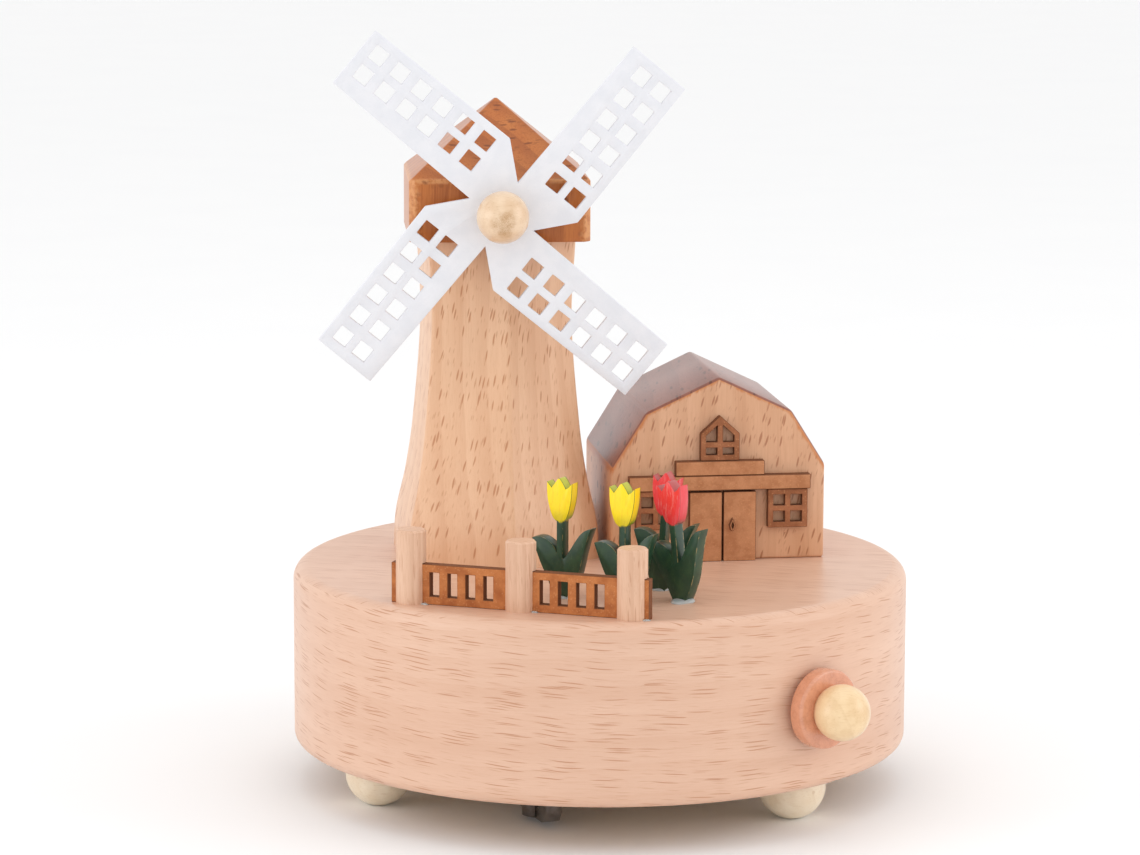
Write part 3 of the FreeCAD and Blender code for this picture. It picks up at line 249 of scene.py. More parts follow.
def wood_layers(g, space, light, mid, dark, fleck, fleck_amount=0.4, fleck_len=5.0,
                fleck_wide=0.5, fleck_deep=3.0, slant=0.0, ring_gap=5.0, ring=0.2,
                fibre_tone=0.35, marks_tone=0.8):
    """Colour and height of planed wood: faint rings, fibres and the short dark ray flecks.

    Lengths are in millimetres; amounts and tones run from 0 to 1.
    """
    x, y, z = g.axes(space)
    slow = g.noise(g.join(g.math("MULTIPLY", x, 0.018), g.math("MULTIPLY", y, 0.11),
                          g.math("MULTIPLY", z, 0.11)), 1.0, 3.0, 0.6)
    wander = g.noise(g.join(g.math("MULTIPLY", x, 0.012), g.math("MULTIPLY", y, 0.03),
                            g.math("MULTIPLY", z, 0.03)), 1.0, 2.0, 0.5)
    from_pith = g.vector("LENGTH", g.join(0.0, g.math("ADD", y, 148.0), g.math("ADD", z, -121.0)))
    ring_at = g.math("ADD", g.math("DIVIDE", from_pith, ring_gap),
                     g.math("MULTIPLY", wander, 2.0))
    turn = g.math("FRACT", ring_at)
    late = g.math("MULTIPLY", g.band(turn, 0.2, 0.95), g.band(turn, 1.0, 0.95))
    fibre = g.noise(g.join(g.math("MULTIPLY", x, 0.16), g.math("MULTIPLY", y, 3.2),
                           g.math("MULTIPLY", z, 3.2)), 1.0, 4.0, 0.7)
    pores = g.noise(g.join(g.math("MULTIPLY", x, 0.9), g.math("MULTIPLY", y, 9.0),
                           g.math("MULTIPLY", z, 9.0)), 1.0, 2.0, 0.6)
    bend = g.math("MULTIPLY", g.noise(space, 0.05, 2.0, 0.5), 2.6)
    across = g.math("ADD", g.math("ADD", y, bend), g.math("MULTIPLY", x, slant))
    near, pick = g.cells(g.join(g.math("DIVIDE", x, fleck_len),
                                g.math("DIVIDE", across, fleck_wide * 2),
                                g.math("DIVIDE", z, fleck_deep)), 1.0)
    dash = g.math("MULTIPLY", g.band(near, 0.36, 0.2),
                  g.band(pick, 1.0 - fleck_amount, 1.08 - fleck_amount))
    far, choose = g.cells(g.join(g.math("DIVIDE", x, fleck_len * 0.5),
                                 g.math("DIVIDE", across, fleck_wide * 1.5),
                                 g.math("DIVIDE", z, fleck_deep * 0.7)), 1.0)
    speck = g.math("MULTIPLY", g.band(far, 0.38, 0.16), g.band(choose, 0.6, 0.7))
    tone = g.math("ADD", g.math("MULTIPLY", slow, 0.75), g.math("MULTIPLY", fibre, 0.35))
    colour = g.blend(g.band(tone, 0.3, 0.8), light, mid)
    colour = g.blend(g.math("MULTIPLY", late, ring), colour, dark)
    colour = g.blend(g.math("MULTIPLY", g.band(fibre, 0.5, 0.8), fibre_tone), colour, dark)
    colour = g.blend(g.math("MULTIPLY", g.band(pores, 0.55, 0.75), 0.14), colour, dark)
    colour = g.blend(g.math("MULTIPLY", speck, marks_tone * 0.45), colour, fleck)
    colour = g.blend(g.math("MULTIPLY", dash, marks_tone), colour, fleck)
    marks = g.math("MAXIMUM", dash, g.math("MULTIPLY", speck, 0.5))
    height = g.math("SUBTRACT", g.math("MULTIPLY", fibre, 0.5), marks)
    return colour, height


def beech(name, grain, tilt=(0, 0, 0), shift=(0, 0, 0), *, light, mid, dark, fleck, rough, coat,
          **layers):
    """Planed beech; grain is an axis letter or a function that gives the grain's space."""
    g = Graph(name)
    space = grain(g) if callable(grain) else grain_space(g, grain, tilt, shift)
    colour, height = wood_layers(g, space, light, mid, dark, fleck, **layers)
    return g.finish(colour, g.math("ADD", rough, g.math("MULTIPLY", height, -0.05)), height,
                    depth=0.05, bump=0.25, Coat_Weight=coat, Coat_Roughness=0.28,
                    Specular_IOR_Level=0.4)


def bead_wood(name, pole, light, mid, vein, axis=(0, 0, 1), core=0.0, gloss=0.4, lines=0.1):
    """Pale turned bead: cloudy cream, a few fine veins and speckled end grain at its pole."""
    g = Graph(name)
    local = g.vector("SUBTRACT", g.place, pole)
    cloud = g.noise(local, 0.32, 3.0, 0.55)
    grain = g.noise(g.turned(local, (20, 35, 10), (0.5, 4.0, 4.0)), 1.0, 4.0, 0.6)
    wave = g.math("ADD", g.vector("DOT_PRODUCT", local, (0.72, 0.31, 0.35)),
                  g.math("MULTIPLY", g.noise(local, 0.22, 2.0, 0.5), 3.0))
    line = g.math("FRACT", g.math("MULTIPLY", wave, 0.21))
    line = g.math("MULTIPLY", g.band(line, 0.8, 0.95), g.band(line, 1.0, 0.96))
    pore = g.noise(local, 5.5, 3.0, 0.7)
    colour = g.blend(g.band(cloud, 0.3, 0.72), light, mid)
    colour = g.blend(g.math("MULTIPLY", g.band(grain, 0.5, 0.8), 0.4), colour, vein)
    colour = g.blend(g.math("MULTIPLY", line, lines), colour, vein)
    centre = g.vector("DOT_PRODUCT", g.vector("NORMALIZE", local), axis)
    patch = g.band(g.math("ADD", centre, g.math("MULTIPLY", g.math("SUBTRACT", cloud, 0.5), 0.4)),
                   0.8, 0.99)
    dots = g.math("MULTIPLY", patch, g.band(pore, 0.42, 0.62))
    colour = g.blend(g.math("MULTIPLY", g.math("ADD", g.math("MULTIPLY", patch, 0.4),
                                               g.math("MULTIPLY", dots, 0.6)), core), colour,
                     vein)
    near, pick = g.cells(local, 0.42)
    nick = g.math("MULTIPLY", g.band(near, 0.2, 0.1), g.band(pick, 0.8, 0.85))
    colour = g.blend(g.math("MULTIPLY", nick, 0.35), colour, vein)
    return g.finish(colour, g.math("ADD", 0.3, g.math("MULTIPLY", grain, 0.1)), grain,
                    depth=0.03, bump=0.2, Coat_Weight=gloss, Coat_Roughness=0.16,
                    Specular_IOR_Level=0.45)


def plate_faces(g, yaw):
    """1 on the broad faces of an upright plate turned by yaw, 0 on its cut edges."""
    a = math.radians(yaw)
    facing = g.vector("DOT_PRODUCT", g.normal, (math.sin(a), -math.cos(a), 0.0))
    return g.band(g.math("ABSOLUTE", facing), 0.75, 0.95)


def cut_ply(name, yaw, face, shade, char):
    """Laser-cut board: speckled brown faces and toasted edges."""
    g = Graph(name)
    cloud = g.noise(g.place, 0.35, 4.0, 0.6)
    grit = g.noise(g.place, 3.4, 3.0, 0.7)
    near, pick = g.cells(g.place, 2.6)
    chip = g.math("MULTIPLY", g.band(near, 0.5, 0.2), g.band(pick, 0.6, 0.75))
    colour = g.blend(g.band(cloud, 0.35, 0.7), face, shade)
    colour = g.blend(g.math("MULTIPLY", g.band(grit, 0.5, 0.7), 0.45), colour, shade)
    colour = g.blend(g.math("MULTIPLY", chip, 0.35), colour, srgb(214, 156, 108))
    streak = g.noise(g.turned(g.place, (0, 0, 0), (0.5, 0.5, 6.0)), 1.0, 3.0, 0.6)
    burnt = g.blend(g.band(streak, 0.35, 0.7), char, srgb(122, 74, 44))
    colour = g.blend(plate_faces(g, yaw), burnt, colour)
    height = g.math("ADD", g.math("MULTIPLY", grit, 0.7), g.math("MULTIPLY", chip, 0.3))
    return g.finish(colour, 0.72, height, depth=0.08, bump=0.35, Specular_IOR_Level=0.25)


def metal(name, colour, tint, rough=0.3, stretch=(1, 1, 1), scale=1.4):
    """Machined metal: brushed streaks, faint tarnish clouds and a fine bump."""
    g = Graph(name)
    streak = g.noise(g.turned(g.place, (0, 0, 0), stretch), scale * 4, 3.0, 0.6)
    cloud = g.noise(g.place, 0.25, 3.0, 0.55)
    shade = g.blend(g.band(cloud, 0.35, 0.75), colour, tint)
    shade = g.blend(g.math("MULTIPLY", streak, 0.25), shade, tint)
    return g.finish(shade, g.math("ADD", rough, g.math("MULTIPLY", streak, 0.16)), streak,
                    depth=0.015, bump=0.2, Metallic=1.0)


# ------------------------------------------------------------------------------------------
# Mesh helpers
# ------------------------------------------------------------------------------------------
SHARP = math.radians(28.0)


def shade_by_angle(bm, limit):
    """Smooth faces, with edges sharper than limit degrees kept sharp."""
    for face in bm.faces:
        face.smooth = True
    for edge in bm.edges:
        edge.smooth = len(edge.link_faces) == 2 and \
            edge.calc_face_angle(0.0) < math.radians(limit)


def finish_piece(bm, name, body, material, stands_for=(), limit=32.0):
    """Turn a bmesh into a piece that rides a body."""
    bmesh.ops.recalc_face_normals(bm, faces=bm.faces)
    shade_by_angle(bm, limit)
    mesh = bpy.data.meshes.new(name)
    bm.to_mesh(mesh)
    bm.free()
    piece = bpy.data.objects.new(name, mesh)
    bpy.context.scene.collection.objects.link(piece)
    mesh.materials.append(material)
    if stands_for:
        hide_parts(*stands_for)
    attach(piece, body)
    return piece


def cad_bmesh(node):
    """The node's own solid, welded, with its flat faces merged."""
    bm = bmesh.new()
    bm.from_mesh(nodes[node].data)
    bm.transform(nodes[node].matrix_world)
    bmesh.ops.remove_doubles(bm, verts=bm.verts, dist=2e-6)
    bmesh.ops.dissolve_limit(bm, angle_limit=math.radians(1.0), verts=bm.verts, edges=bm.edges)
    return bm


def eased(node, material, width, segments, name, only=None):
    """Replace a CAD node by the same solid with its sharp edges rounded by width."""
    bm = cad_bmesh(node)
    edges = [e for e in bm.edges if len(e.link_faces) == 2 and
             e.calc_face_angle(0.0) > SHARP and (only is None or only(e))]
    bmesh.ops.bevel(bm, geom=edges, offset=width * MM, segments=segments, profile=0.5,
                    affect="EDGES", clamp_overlap=True)
    return finish_piece(bm, name, body_names[node], material, (node,))


def edge_middle(edge):
    """The middle of an edge, in millimetres."""
    return (edge.verts[0].co + edge.verts[1].co) / (2 * MM)


def lathe(profile, origin, axis, segments=96):
    """Spin (radius, height) pairs in millimetres about an axis through origin (metres)."""
    bm = bmesh.new()
    turn = Vector((0, 0, 1)).rotation_difference(Vector(axis)).to_matrix()
    rings = []
    for radius, height in profile:
        ring = []
        for i in range(segments):
            a = 2 * math.pi * i / segments
            p = Vector((radius * MM * math.cos(a), radius * MM * math.sin(a), height * MM))
            ring.append(bm.verts.new(turn @ p + Vector(origin)))
        rings.append(ring)
    join_rings(bm, rings)
    return bm


def join_rings(bm, rings):
    """Faces between neighbouring closed rings of equal length."""
    count = len(rings[0])
    for low, high in zip(rings, rings[1:]):
        for i in range(count):
            j = (i + 1) % count
            bm.faces.new((low[i], low[j], high[j], high[i]))


def arc(cx, cy, radius, start, end, steps):
    """Points of an arc in profile space, degrees from the first axis."""
    out = []
    for i in range(steps + 1):
        a = math.radians(start + (end - start) * i / steps)
        out.append((cx + radius * math.cos(a), cy + radius * math.sin(a)))
    return out


def spline(points, steps):
    """Catmull-Rom curve through 2-D points, without its last point."""
    out = []
    last = len(points) - 1
    for i in range(last):
        p0, p1 = points[max(i - 1, 0)], points[i]
        p2, p3 = points[i + 1], points[min(i + 2, last)]
        for s in range(steps):
            t = s / steps
            out.append(tuple(0.5 * (2 * b + (c - a) * t + (2 * a - 5 * b + 4 * c - e) * t * t +
                                    (3 * b - a - 3 * c + e) * t ** 3)
                             for a, b, c, e in zip(p0, p1, p2, p3)))
    return out


def local_axes(g, origin, yaw):
    """Millimetre coordinates of a frame at origin (mm) turned by yaw: across, away, up."""
    moved = g.vector("SUBTRACT", g.place, origin)
    node = g.add("ShaderNodeVectorRotate")
    node.rotation_type = "Z_AXIS"
    g.feed(node.inputs["Vector"], moved)
    node.inputs["Angle"].default_value = math.radians(-yaw)
    return g.axes(node.outputs[0])


# ------------------------------------------------------------------------------------------
# Special finishes
# ------------------------------------------------------------------------------------------
def stained_cap():
    """Cherry-brown stain over upright grain, rubbed pale on the arrises, with a painted pinkish
    sheen lightening the flanks.
    """
    g = Graph("cap_stain")
    space = grain_space(g, "Z", (2, -2, 0), (3, 0, 0))
    colour, height = wood_layers(g, space, srgb(200, 122, 58), srgb(176, 94, 36),
                                 srgb(134, 62, 18), srgb(108, 48, 14), fleck_amount=0.5,
                                 fleck_len=3.4, fleck_wide=0.34, ring_gap=4.0, ring=0.35,
                                 fibre_tone=0.6, marks_tone=0.7)
    # Painted sheen: faces turned to the left or right are lightened towards a pinkish tan, as where
    # they catch the side lights.
    side = g.band(g.math("ABSOLUTE", g.axes(g.normal)[0]), 0.45, 0.95)
    colour = g.blend(g.math("MULTIPLY", side, 0.55), colour, srgb(204, 140, 100))
    across, away, up = local_axes(g, (TOWER_AT[0], TOWER_AT[1], CAP_Z), 0)
    reach = g.math("MAXIMUM", g.math("ABSOLUTE", across), g.math("ABSOLUTE", away))
    both = g.math("ADD", g.math("ABSOLUTE", across), g.math("ABSOLUTE", away))
    corner = g.math("MULTIPLY", g.band(both, 2 * CAP_HALF - 2.6, 2 * CAP_HALF - 1.0),
                    g.band(up, CAP_H + 1.2, CAP_H - 0.8))
    near_eave = g.band(g.math("ABSOLUTE", g.math("SUBTRACT", up, CAP_H)), 0.75, 0.15)
    rim = g.band(reach, CAP_HALF - 1.2, CAP_HALF - 0.4)
    worn = g.math("MAXIMUM", corner, g.math("MULTIPLY", near_eave, rim))
    patch = g.noise(g.place, 0.8, 3.0, 0.6)
    worn = g.math("MULTIPLY", worn, g.band(patch, 0.3, 0.6))
    colour = g.blend(g.math("MULTIPLY", worn, 0.7), colour, srgb(222, 160, 104))
    return g.finish(colour, 0.34, height, depth=0.05, bump=0.25, Coat_Weight=0.2,
                    Coat_Roughness=0.25, Specular_IOR_Level=0.3)


def barn_wood():
    """Plain beech walls under a roof dipped in brown stain that bled a little over the edge."""
    g = Graph("barn_wood")
    east, north, high = g.axes(g.place)
    wall = g.join(high, east, north)
    bare, height = wood_layers(g, wall, srgb(222, 174, 138),
                               srgb(206, 154, 116), srgb(184, 130, 92), srgb(162, 102, 64),
                               fleck_amount=0.5, fleck_len=3.8, fleck_wide=0.34, slant=-0.24)
    dipped, _ = wood_layers(g, grain_space(g, "Y", (0, 2, 3), (0, 0, 7)), srgb(152, 96, 78),
                            srgb(134, 78, 62), srgb(110, 60, 44), srgb(90, 46, 32),
                            fleck_amount=0.3, fleck_len=5.0, ring=0.3, fibre_tone=0.45)
    across, _, up = local_axes(g, BARN_AT, BARN_YAW)
    wide = g.math("ABSOLUTE", across)

    def inside(x0, z0, x1, z1):
        """Distance in from one roof slope, in millimetres."""
        length = math.hypot(x1 - x0, z1 - z0)
        nx, nz = (z1 - z0) / length, -(x1 - x0) / length
        if nx * -x0 + nz * -z0 > 0:
            nx, nz = -nx, -nz
        out = g.math("ADD", g.math("MULTIPLY", wide, nx), g.math("MULTIPLY", up, nz))
        return g.math("SUBTRACT", nx * x0 + nz * z0, out)

    depth = g.math("MINIMUM", inside(21.15, 18.7, 14.4, 29.5), inside(14.4, 29.5, 0.0, 36.3))
    ragged = g.noise(g.turned(g.place, (0, 0, 0), (1.4, 1.4, 0.35)), 1.0, 3.0, 0.65)
    bleed = g.band(g.math("SUBTRACT", depth, g.math("MULTIPLY", ragged, 1.5)), 0.25, -0.4)
    lean = g.axes(g.normal)[2]
    roof = g.band(lean, 0.25, 0.4)
    colour = g.blend(bleed, bare, srgb(196, 122, 66))
    colour = g.blend(roof, colour, dipped)
    worn = g.math("MULTIPLY", g.band(depth, 0.5, 0.1), g.band(lean, 0.5, 0.1))
    colour = g.blend(g.math("MULTIPLY", worn, 0.25), colour, srgb(150, 92, 56))
    rough = g.math("SUBTRACT", 0.46, g.math("MULTIPLY", roof, 0.14))
    return g.finish(colour, rough, height, depth=0.05, bump=0.25, Coat_Weight=0.3,
                    Coat_Roughness=0.3, Specular_IOR_Level=0.45)


def white_paint():
    """Sprayed white on thin ply: eggshell grain, scuffed grey towards the tips."""
    g = Graph("sail_white")
    grit = g.noise(g.place, 2.6, 4.0, 0.65)
    cloud = g.noise(g.place, 0.3, 3.0, 0.55)
    axle = (TOWER_AT[0], -10.0, AXLE_Z)
    far = g.vector("LENGTH", g.vector("SUBTRACT", g.place, axle))
    scuff = g.math("MULTIPLY", g.band(far, 34.0, 44.0), g.band(g.noise(g.place, 1.1, 4.0, 0.7),
                                                              0.5, 0.72))
    colour = g.blend(g.band(cloud, 0.3, 0.7), srgb(230, 230, 234), srgb(224, 225, 230))
    colour = g.blend(g.math("MULTIPLY", g.band(grit, 0.5, 0.75), 0.3), colour,
                     srgb(216, 217, 223))
    colour = g.blend(g.math("MULTIPLY", scuff, 0.2), colour, srgb(198, 200, 205))
    return g.finish(colour, g.math("ADD", 0.48, g.math("MULTIPLY", grit, 0.16)), grit,
                    depth=0.06, bump=0.4, Specular_IOR_Level=0.4)


def tulip_paint(name, at, yaw, petal, petal_side, rim, streak, tip):
    """Green leaves and stem with a painted bloom on top, brushed by hand."""
    g = Graph(name)
    across, away, up = local_axes(g, (at[0], at[1], DECK), yaw)
    brush = g.noise(g.join(g.math("MULTIPLY", across, 2.6), g.math("MULTIPLY", away, 2.6),
                           g.math("MULTIPLY", up, 0.5)), 1.0, 4.0, 0.65)
    blot = g.noise(g.place, 0.55, 3.0, 0.6)
    wobble = g.math("MULTIPLY", g.noise(g.place, 0.9, 2.0, 0.5), 1.3)
    green = g.blend(g.band(blot, 0.35, 0.75), srgb(36, 66, 48), srgb(50, 80, 52))
    green = g.blend(g.math("MULTIPLY", g.band(brush, 0.58, 0.85), 0.35), green,
                    srgb(120, 136, 112))
    off = g.math("ABSOLUTE", away)
    cut_face = g.math("SUBTRACT", 1.0, plate_faces(g, yaw))
    arris = g.math("MULTIPLY", g.band(off, 1.0, 1.12), cut_face)
    rubbed = g.math("MULTIPLY", arris, g.band(g.noise(g.place, 0.8, 3.0, 0.6), 0.48, 0.6))
    green = g.blend(g.math("MULTIPLY", rubbed, 0.7), green, srgb(168, 146, 96))
    # Brush streaks in a second tone; on the red blooms that tone is pale pink, a painted highlight
    # along the strokes.
    bloom = g.blend(g.math("MULTIPLY", g.band(brush, 0.5, 0.75), 0.8), petal, streak)
    bloom = g.blend(g.math("MULTIPLY", cut_face, 0.6), bloom, petal_side)
    lift = g.band(g.math("ABSOLUTE", g.axes(g.normal)[2]), 0.25, 0.5)
    bloom = g.blend(g.math("MULTIPLY", g.math("MULTIPLY", lift, cut_face), 0.75), bloom, tip)
    bloom = g.blend(g.math("MULTIPLY", arris, 0.75), bloom, rim)
    fade = g.band(up, 17.4, 14.8)
    bloom = g.blend(g.math("MULTIPLY", g.math("MULTIPLY", fade, brush), 0.6), bloom, rim)
    start = g.band(g.math("SUBTRACT", up, wobble), 13.7, 14.3)
    colour = g.blend(start, green, bloom)
    rough = g.math("ADD", 0.24, g.math("MULTIPLY", brush, 0.22))
    return g.finish(colour, rough, brush, depth=0.05, bump=0.3, Coat_Weight=0.2,
                    Coat_Roughness=0.18, Specular_IOR_Level=0.4)


def glossy_pink():
    """Rose lacquer on a turned disc, with fine turning rings."""
    g = Graph("knob_pink")
    wear = g.noise(g.place, 0.6, 4.0, 0.6)
    ring = g.noise(g.turned(g.place, (0, 0, 52.5), (0.12, 3.0, 3.0)), 1.0, 2.0, 0.5)
    colour = g.blend(g.band(wear, 0.35, 0.7), srgb(220, 152, 118), srgb(206, 138, 104))
    colour = g.blend(g.math("MULTIPLY", g.band(ring, 0.5, 0.75), 0.3), colour,
                     srgb(190, 120, 88))
    return g.finish(colour, g.math("ADD", 0.2, g.math("MULTIPLY", wear, 0.12)), ring,
                    depth=0.02, bump=0.15, Coat_Weight=0.7, Coat_Roughness=0.08,
                    Specular_IOR_Level=0.5)


def lid_ply():
    """Underside ply: pale face veneer with long fibres and dark layers at the rim."""
    g = Graph("lid_ply")
    colour, height = wood_layers(g, grain_space(g, "X", (0, 0, 12)), srgb(224, 190, 148),
                                 srgb(206, 168, 122), srgb(176, 134, 90), srgb(136, 94, 58),
                                 fleck_amount=0.2, fleck_len=7.0, ring_gap=6.0, ring=0.4)
    ply = g.math("FRACT", g.math("MULTIPLY", g.axes(g.place)[2], 1.0))
    rim = g.band(g.math("ABSOLUTE", g.axes(g.normal)[2]), 0.5, 0.2)
    layer = g.math("MULTIPLY", rim, g.band(ply, 0.45, 0.55))
    colour = g.blend(g.math("MULTIPLY", layer, 0.6), colour, srgb(150, 108, 70))
    return g.finish(colour, 0.6, height, depth=0.06, bump=0.3, Specular_IOR_Level=0.3)


def glue():
    """Dried hot glue: milky, a little wet looking."""
    g = Graph("dried_glue")
    cloud = g.noise(g.place, 1.6, 3.0, 0.6)
    colour = g.blend(cloud, srgb(240, 240, 236), srgb(222, 220, 212))
    return g.finish(colour, g.math("ADD", 0.12, g.math("MULTIPLY", cloud, 0.15)), cloud,
                    depth=0.08, bump=0.3, Transmission_Weight=0.45, IOR=1.48,
                    Subsurface_Weight=0.2, Coat_Weight=0.4)


# ------------------------------------------------------------------------------------------
# Finishes on the carried-over nodes
# ------------------------------------------------------------------------------------------
def paint(node, material):
    """Give every slot of a carried-over node this material."""
    target = nodes[node]
    if not target.material_slots:
        target.data.materials.append(material)
    for entry in target.material_slots:
        entry.material = material


DRUM = beech("drum_beech", drum_space, light=srgb(227, 188, 163), mid=srgb(217, 175, 149),
             dark=srgb(202, 152, 120), fleck=srgb(186, 130, 96), fleck_amount=0.6,
             fleck_len=9.5, fleck_wide=0.18, slant=0.05, ring=0.12, fibre_tone=0.3,
             marks_tone=0.75, rough=0.42, coat=0.2)
TOWER = beech("tower_beech", tower_space, light=srgb(236, 194, 158), mid=srgb(225, 178, 140),
              dark=srgb(206, 152, 112), fleck=srgb(186, 124, 82), fleck_amount=0.55,
              fleck_len=4.2, fleck_wide=0.4, slant=-0.24, ring=0.25, rough=0.4, coat=0.25)
POST = beech("post_beech", "Z", (1.5, 2.0, 0), (1, 6, 0), light=srgb(230, 192, 164),
             mid=srgb(216, 172, 142), dark=srgb(190, 140, 108), fleck=srgb(178, 124, 92),
             fleck_amount=0.45, fleck_len=9.0, fleck_wide=0.1, fleck_deep=0.5, ring_gap=1.2,
             ring=0.3, fibre_tone=0.6, marks_tone=0.5, rough=0.5, coat=0.05)
CAP = stained_cap()
BARN = barn_wood()
WHITE = white_paint()
FOOT = bead_wood("foot_birch", (0, 0, 0), srgb(250, 236, 212), srgb(242, 224, 196),
                 srgb(204, 172, 130), gloss=0.2)
HUB = bead_wood("hub_birch", HUB_AT, srgb(232, 204, 172), srgb(220, 186, 150),
                srgb(178, 134, 84), (0.02, -0.98, -0.18), core=0.8, gloss=0.6, lines=0.05)
KNOB = bead_wood("knob_birch", KNOB_BALL_AT, srgb(240, 210, 166), srgb(230, 196, 150),
                 srgb(198, 154, 100), (0.6, -0.78, -0.1), core=0.3, gloss=0.55, lines=0.12)
PINK = glossy_pink()
LID = lid_ply()
BUSH = bead_wood("bush_birch", (0, 0, 0), srgb(226, 190, 150), srgb(206, 168, 126),
                 srgb(168, 124, 82), gloss=0.2)
TRIM = cut_ply("barn_trim_ply", BARN_YAW, face=srgb(196, 138, 98), shade=srgb(174, 116, 78),
               char=srgb(112, 70, 46))
WINDOW = cut_ply("window_ply", BARN_YAW, face=srgb(166, 108, 74), shade=srgb(140, 86, 54),
                 char=srgb(104, 62, 40))
FENCE = cut_ply("fence_ply", FENCE_YAW, face=srgb(194, 122, 70), shade=srgb(164, 94, 50),
                char=srgb(116, 70, 44))
CHROME = metal("key_chrome", srgb(150, 148, 148), srgb(96, 90, 86), 0.1, (1, 1, 6), 1.0)
STEEL = metal("steel", srgb(186, 186, 188), srgb(150, 148, 146), 0.3, (1, 6, 1))
BRASS = metal("brass", srgb(226, 190, 116), srgb(186, 146, 78), 0.28, (1, 1, 5))
IRON = metal("plated_iron", srgb(176, 172, 164), srgb(132, 126, 116), 0.42, (6, 1, 1))
SPRING = metal("spring_steel", srgb(120, 122, 130), srgb(84, 80, 84), 0.34, (1, 1, 8))
GLUE = glue()

BY_SLOT = {"beech": DRUM, "birch": BUSH, "stained": CAP, "plywood": TRIM, "lid_wood": LID,
           "white": WHITE, "yellow": TRIM, "red": TRIM, "pink": PINK, "steel": STEEL,
           "chromed": CHROME, "brass": BRASS, "iron": IRON}
BY_NODE = {"tower": TOWER, "barn_block": BARN, "mainspring": SPRING, "knob_ball": KNOB,
           "sail_hub_ball": HUB, "sail_spacer": BUSH, "fence_panel": FENCE,
           "barn_window_left": WINDOW, "barn_window_right": WINDOW, "barn_gable_window": WINDOW,
           "fence_post_left": POST, "fence_post_middle": POST, "fence_post_right": POST,
           "foot_front_left": FOOT, "foot_front_right": FOOT, "foot_rear_right": FOOT,
           "foot_rear_left": FOOT}
# The tulips' slots, yellow and red, are painted with their meshes further down.
for node in nodes:
    paint(node, BY_NODE.get(node) or BY_SLOT[slots[node]])


# ------------------------------------------------------------------------------------------
# Turned, planed and cut pieces with softened edges
# ------------------------------------------------------------------------------------------
def build_tower():
    """The six-sided flare with its arrises sanded round, bored for the shaft."""
    # (share of the height, radius to an arris)
    levels = [(0.0, 21.8), (0.11, 21.4), (0.25, 19.3), (0.41, 17.7), (0.74, 16.0), (1.0, 16.8)]
    soft, steps, rows = 1.15, 5, 72

    def radius_at(share):
        """A smooth curve through the levels."""
        for i, ((s0, r0), (s1, r1)) in enumerate(zip(levels, levels[1:])):
            if share <= s1 + 1e-9:
                sp, rp = levels[i - 1] if i else (s0 - (s1 - s0), r0 + (r0 - r1) * 0.3)
                sn, rn = levels[i + 2] if i + 2 < len(levels) else (s1 + (s1 - s0), r1 + (r1 - r0))
                m0 = (r1 - rp) / (s1 - sp) * (s1 - s0)
                m1 = (rn - r0) / (sn - s0) * (s1 - s0)
                t = (share - s0) / (s1 - s0)
                return ((2 * t ** 3 - 3 * t * t + 1) * r0 + (t ** 3 - 2 * t * t + t) * m0 +
                        (-2 * t ** 3 + 3 * t * t) * r1 + (t ** 3 - t * t) * m1)
        return levels[-1][1]

    bm = bmesh.new()
    spin = Matrix.Rotation(math.radians(TOWER_YAW), 3, "Z")
    base = Vector((TOWER_AT[0] * MM, TOWER_AT[1] * MM, DECK * MM))

    def ring(share):
        """One closed outline of the tower, six soft arrises, at this share of its height."""
        centre = radius_at(share) - soft / math.cos(math.radians(30))
        out = []
        for k in range(6):
            mid = 60.0 * k - 90.0
            cx, cy = centre * math.cos(math.radians(mid)), centre * math.sin(math.radians(mid))
            for s in range(steps + 1):
                a = math.radians(mid - 30 + 60 * s / steps)
                p = Vector((cx + soft * math.cos(a), cy + soft * math.sin(a), share * TOWER_H))
                out.append(bm.verts.new(spin @ (p * MM) + base))
        return out

    rings = [ring(i / rows) for i in range(rows + 1)]
    join_rings(bm, rings)
    count = len(rings[0])
    bores = []
    for z in (0.0, TOWER_H):
        loop = []
        for i in range(count):
            a = 2 * math.pi * (i + 0.5) / count - math.pi / 2 - math.radians(30)
            p = Vector((TOWER_BORE_R * math.cos(a), TOWER_BORE_R * math.sin(a), z))
            loop.append(bm.verts.new(spin @ (p * MM) + base))
        bores.append(loop)
    for i in range(count):
        j = (i + 1) % count
        bm.faces.new((rings[0][j], rings[0][i], bores[0][i], bores[0][j]))
        bm.faces.new((rings[-1][i], rings[-1][j], bores[1][j], bores[1][i]))
        bm.faces.new((bores[0][j], bores[0][i], bores[1][i], bores[1][j]))
    return finish_piece(bm, "tower_body", "stand", TOWER, ("tower",), 34)


def cap_edges(edge):
    """The cap's outside edges, not those of the axle's hole and the well for the shaft."""
    m = edge_middle(edge)
    x, y = m.x - TOWER_AT[0], m.y - TOWER_AT[1]
    near_axle = abs(m.z - AXLE_Z) < 3.2 and abs(x) < 3.2
    in_well = m.z < 121.0 and math.hypot(x, y) < 11.5
    return not near_axle and not in_well and edge.calc_length() > 0.9 * MM


def sail_edges(edge):
    """The rotor's edges away from its hub hole."""
    m = edge_middle(edge)
    return math.hypot(m.x - TOWER_AT[0], m.z - AXLE_Z) > 3.0


def wing_edges(edge):
    """The key's edges away from its square hub."""
    m = edge_middle(edge)
    return math.hypot(m.x - KEY_AT[0], m.y - KEY_AT[1]) > 3.6 and \
        edge.calc_length() > 0.8 * MM


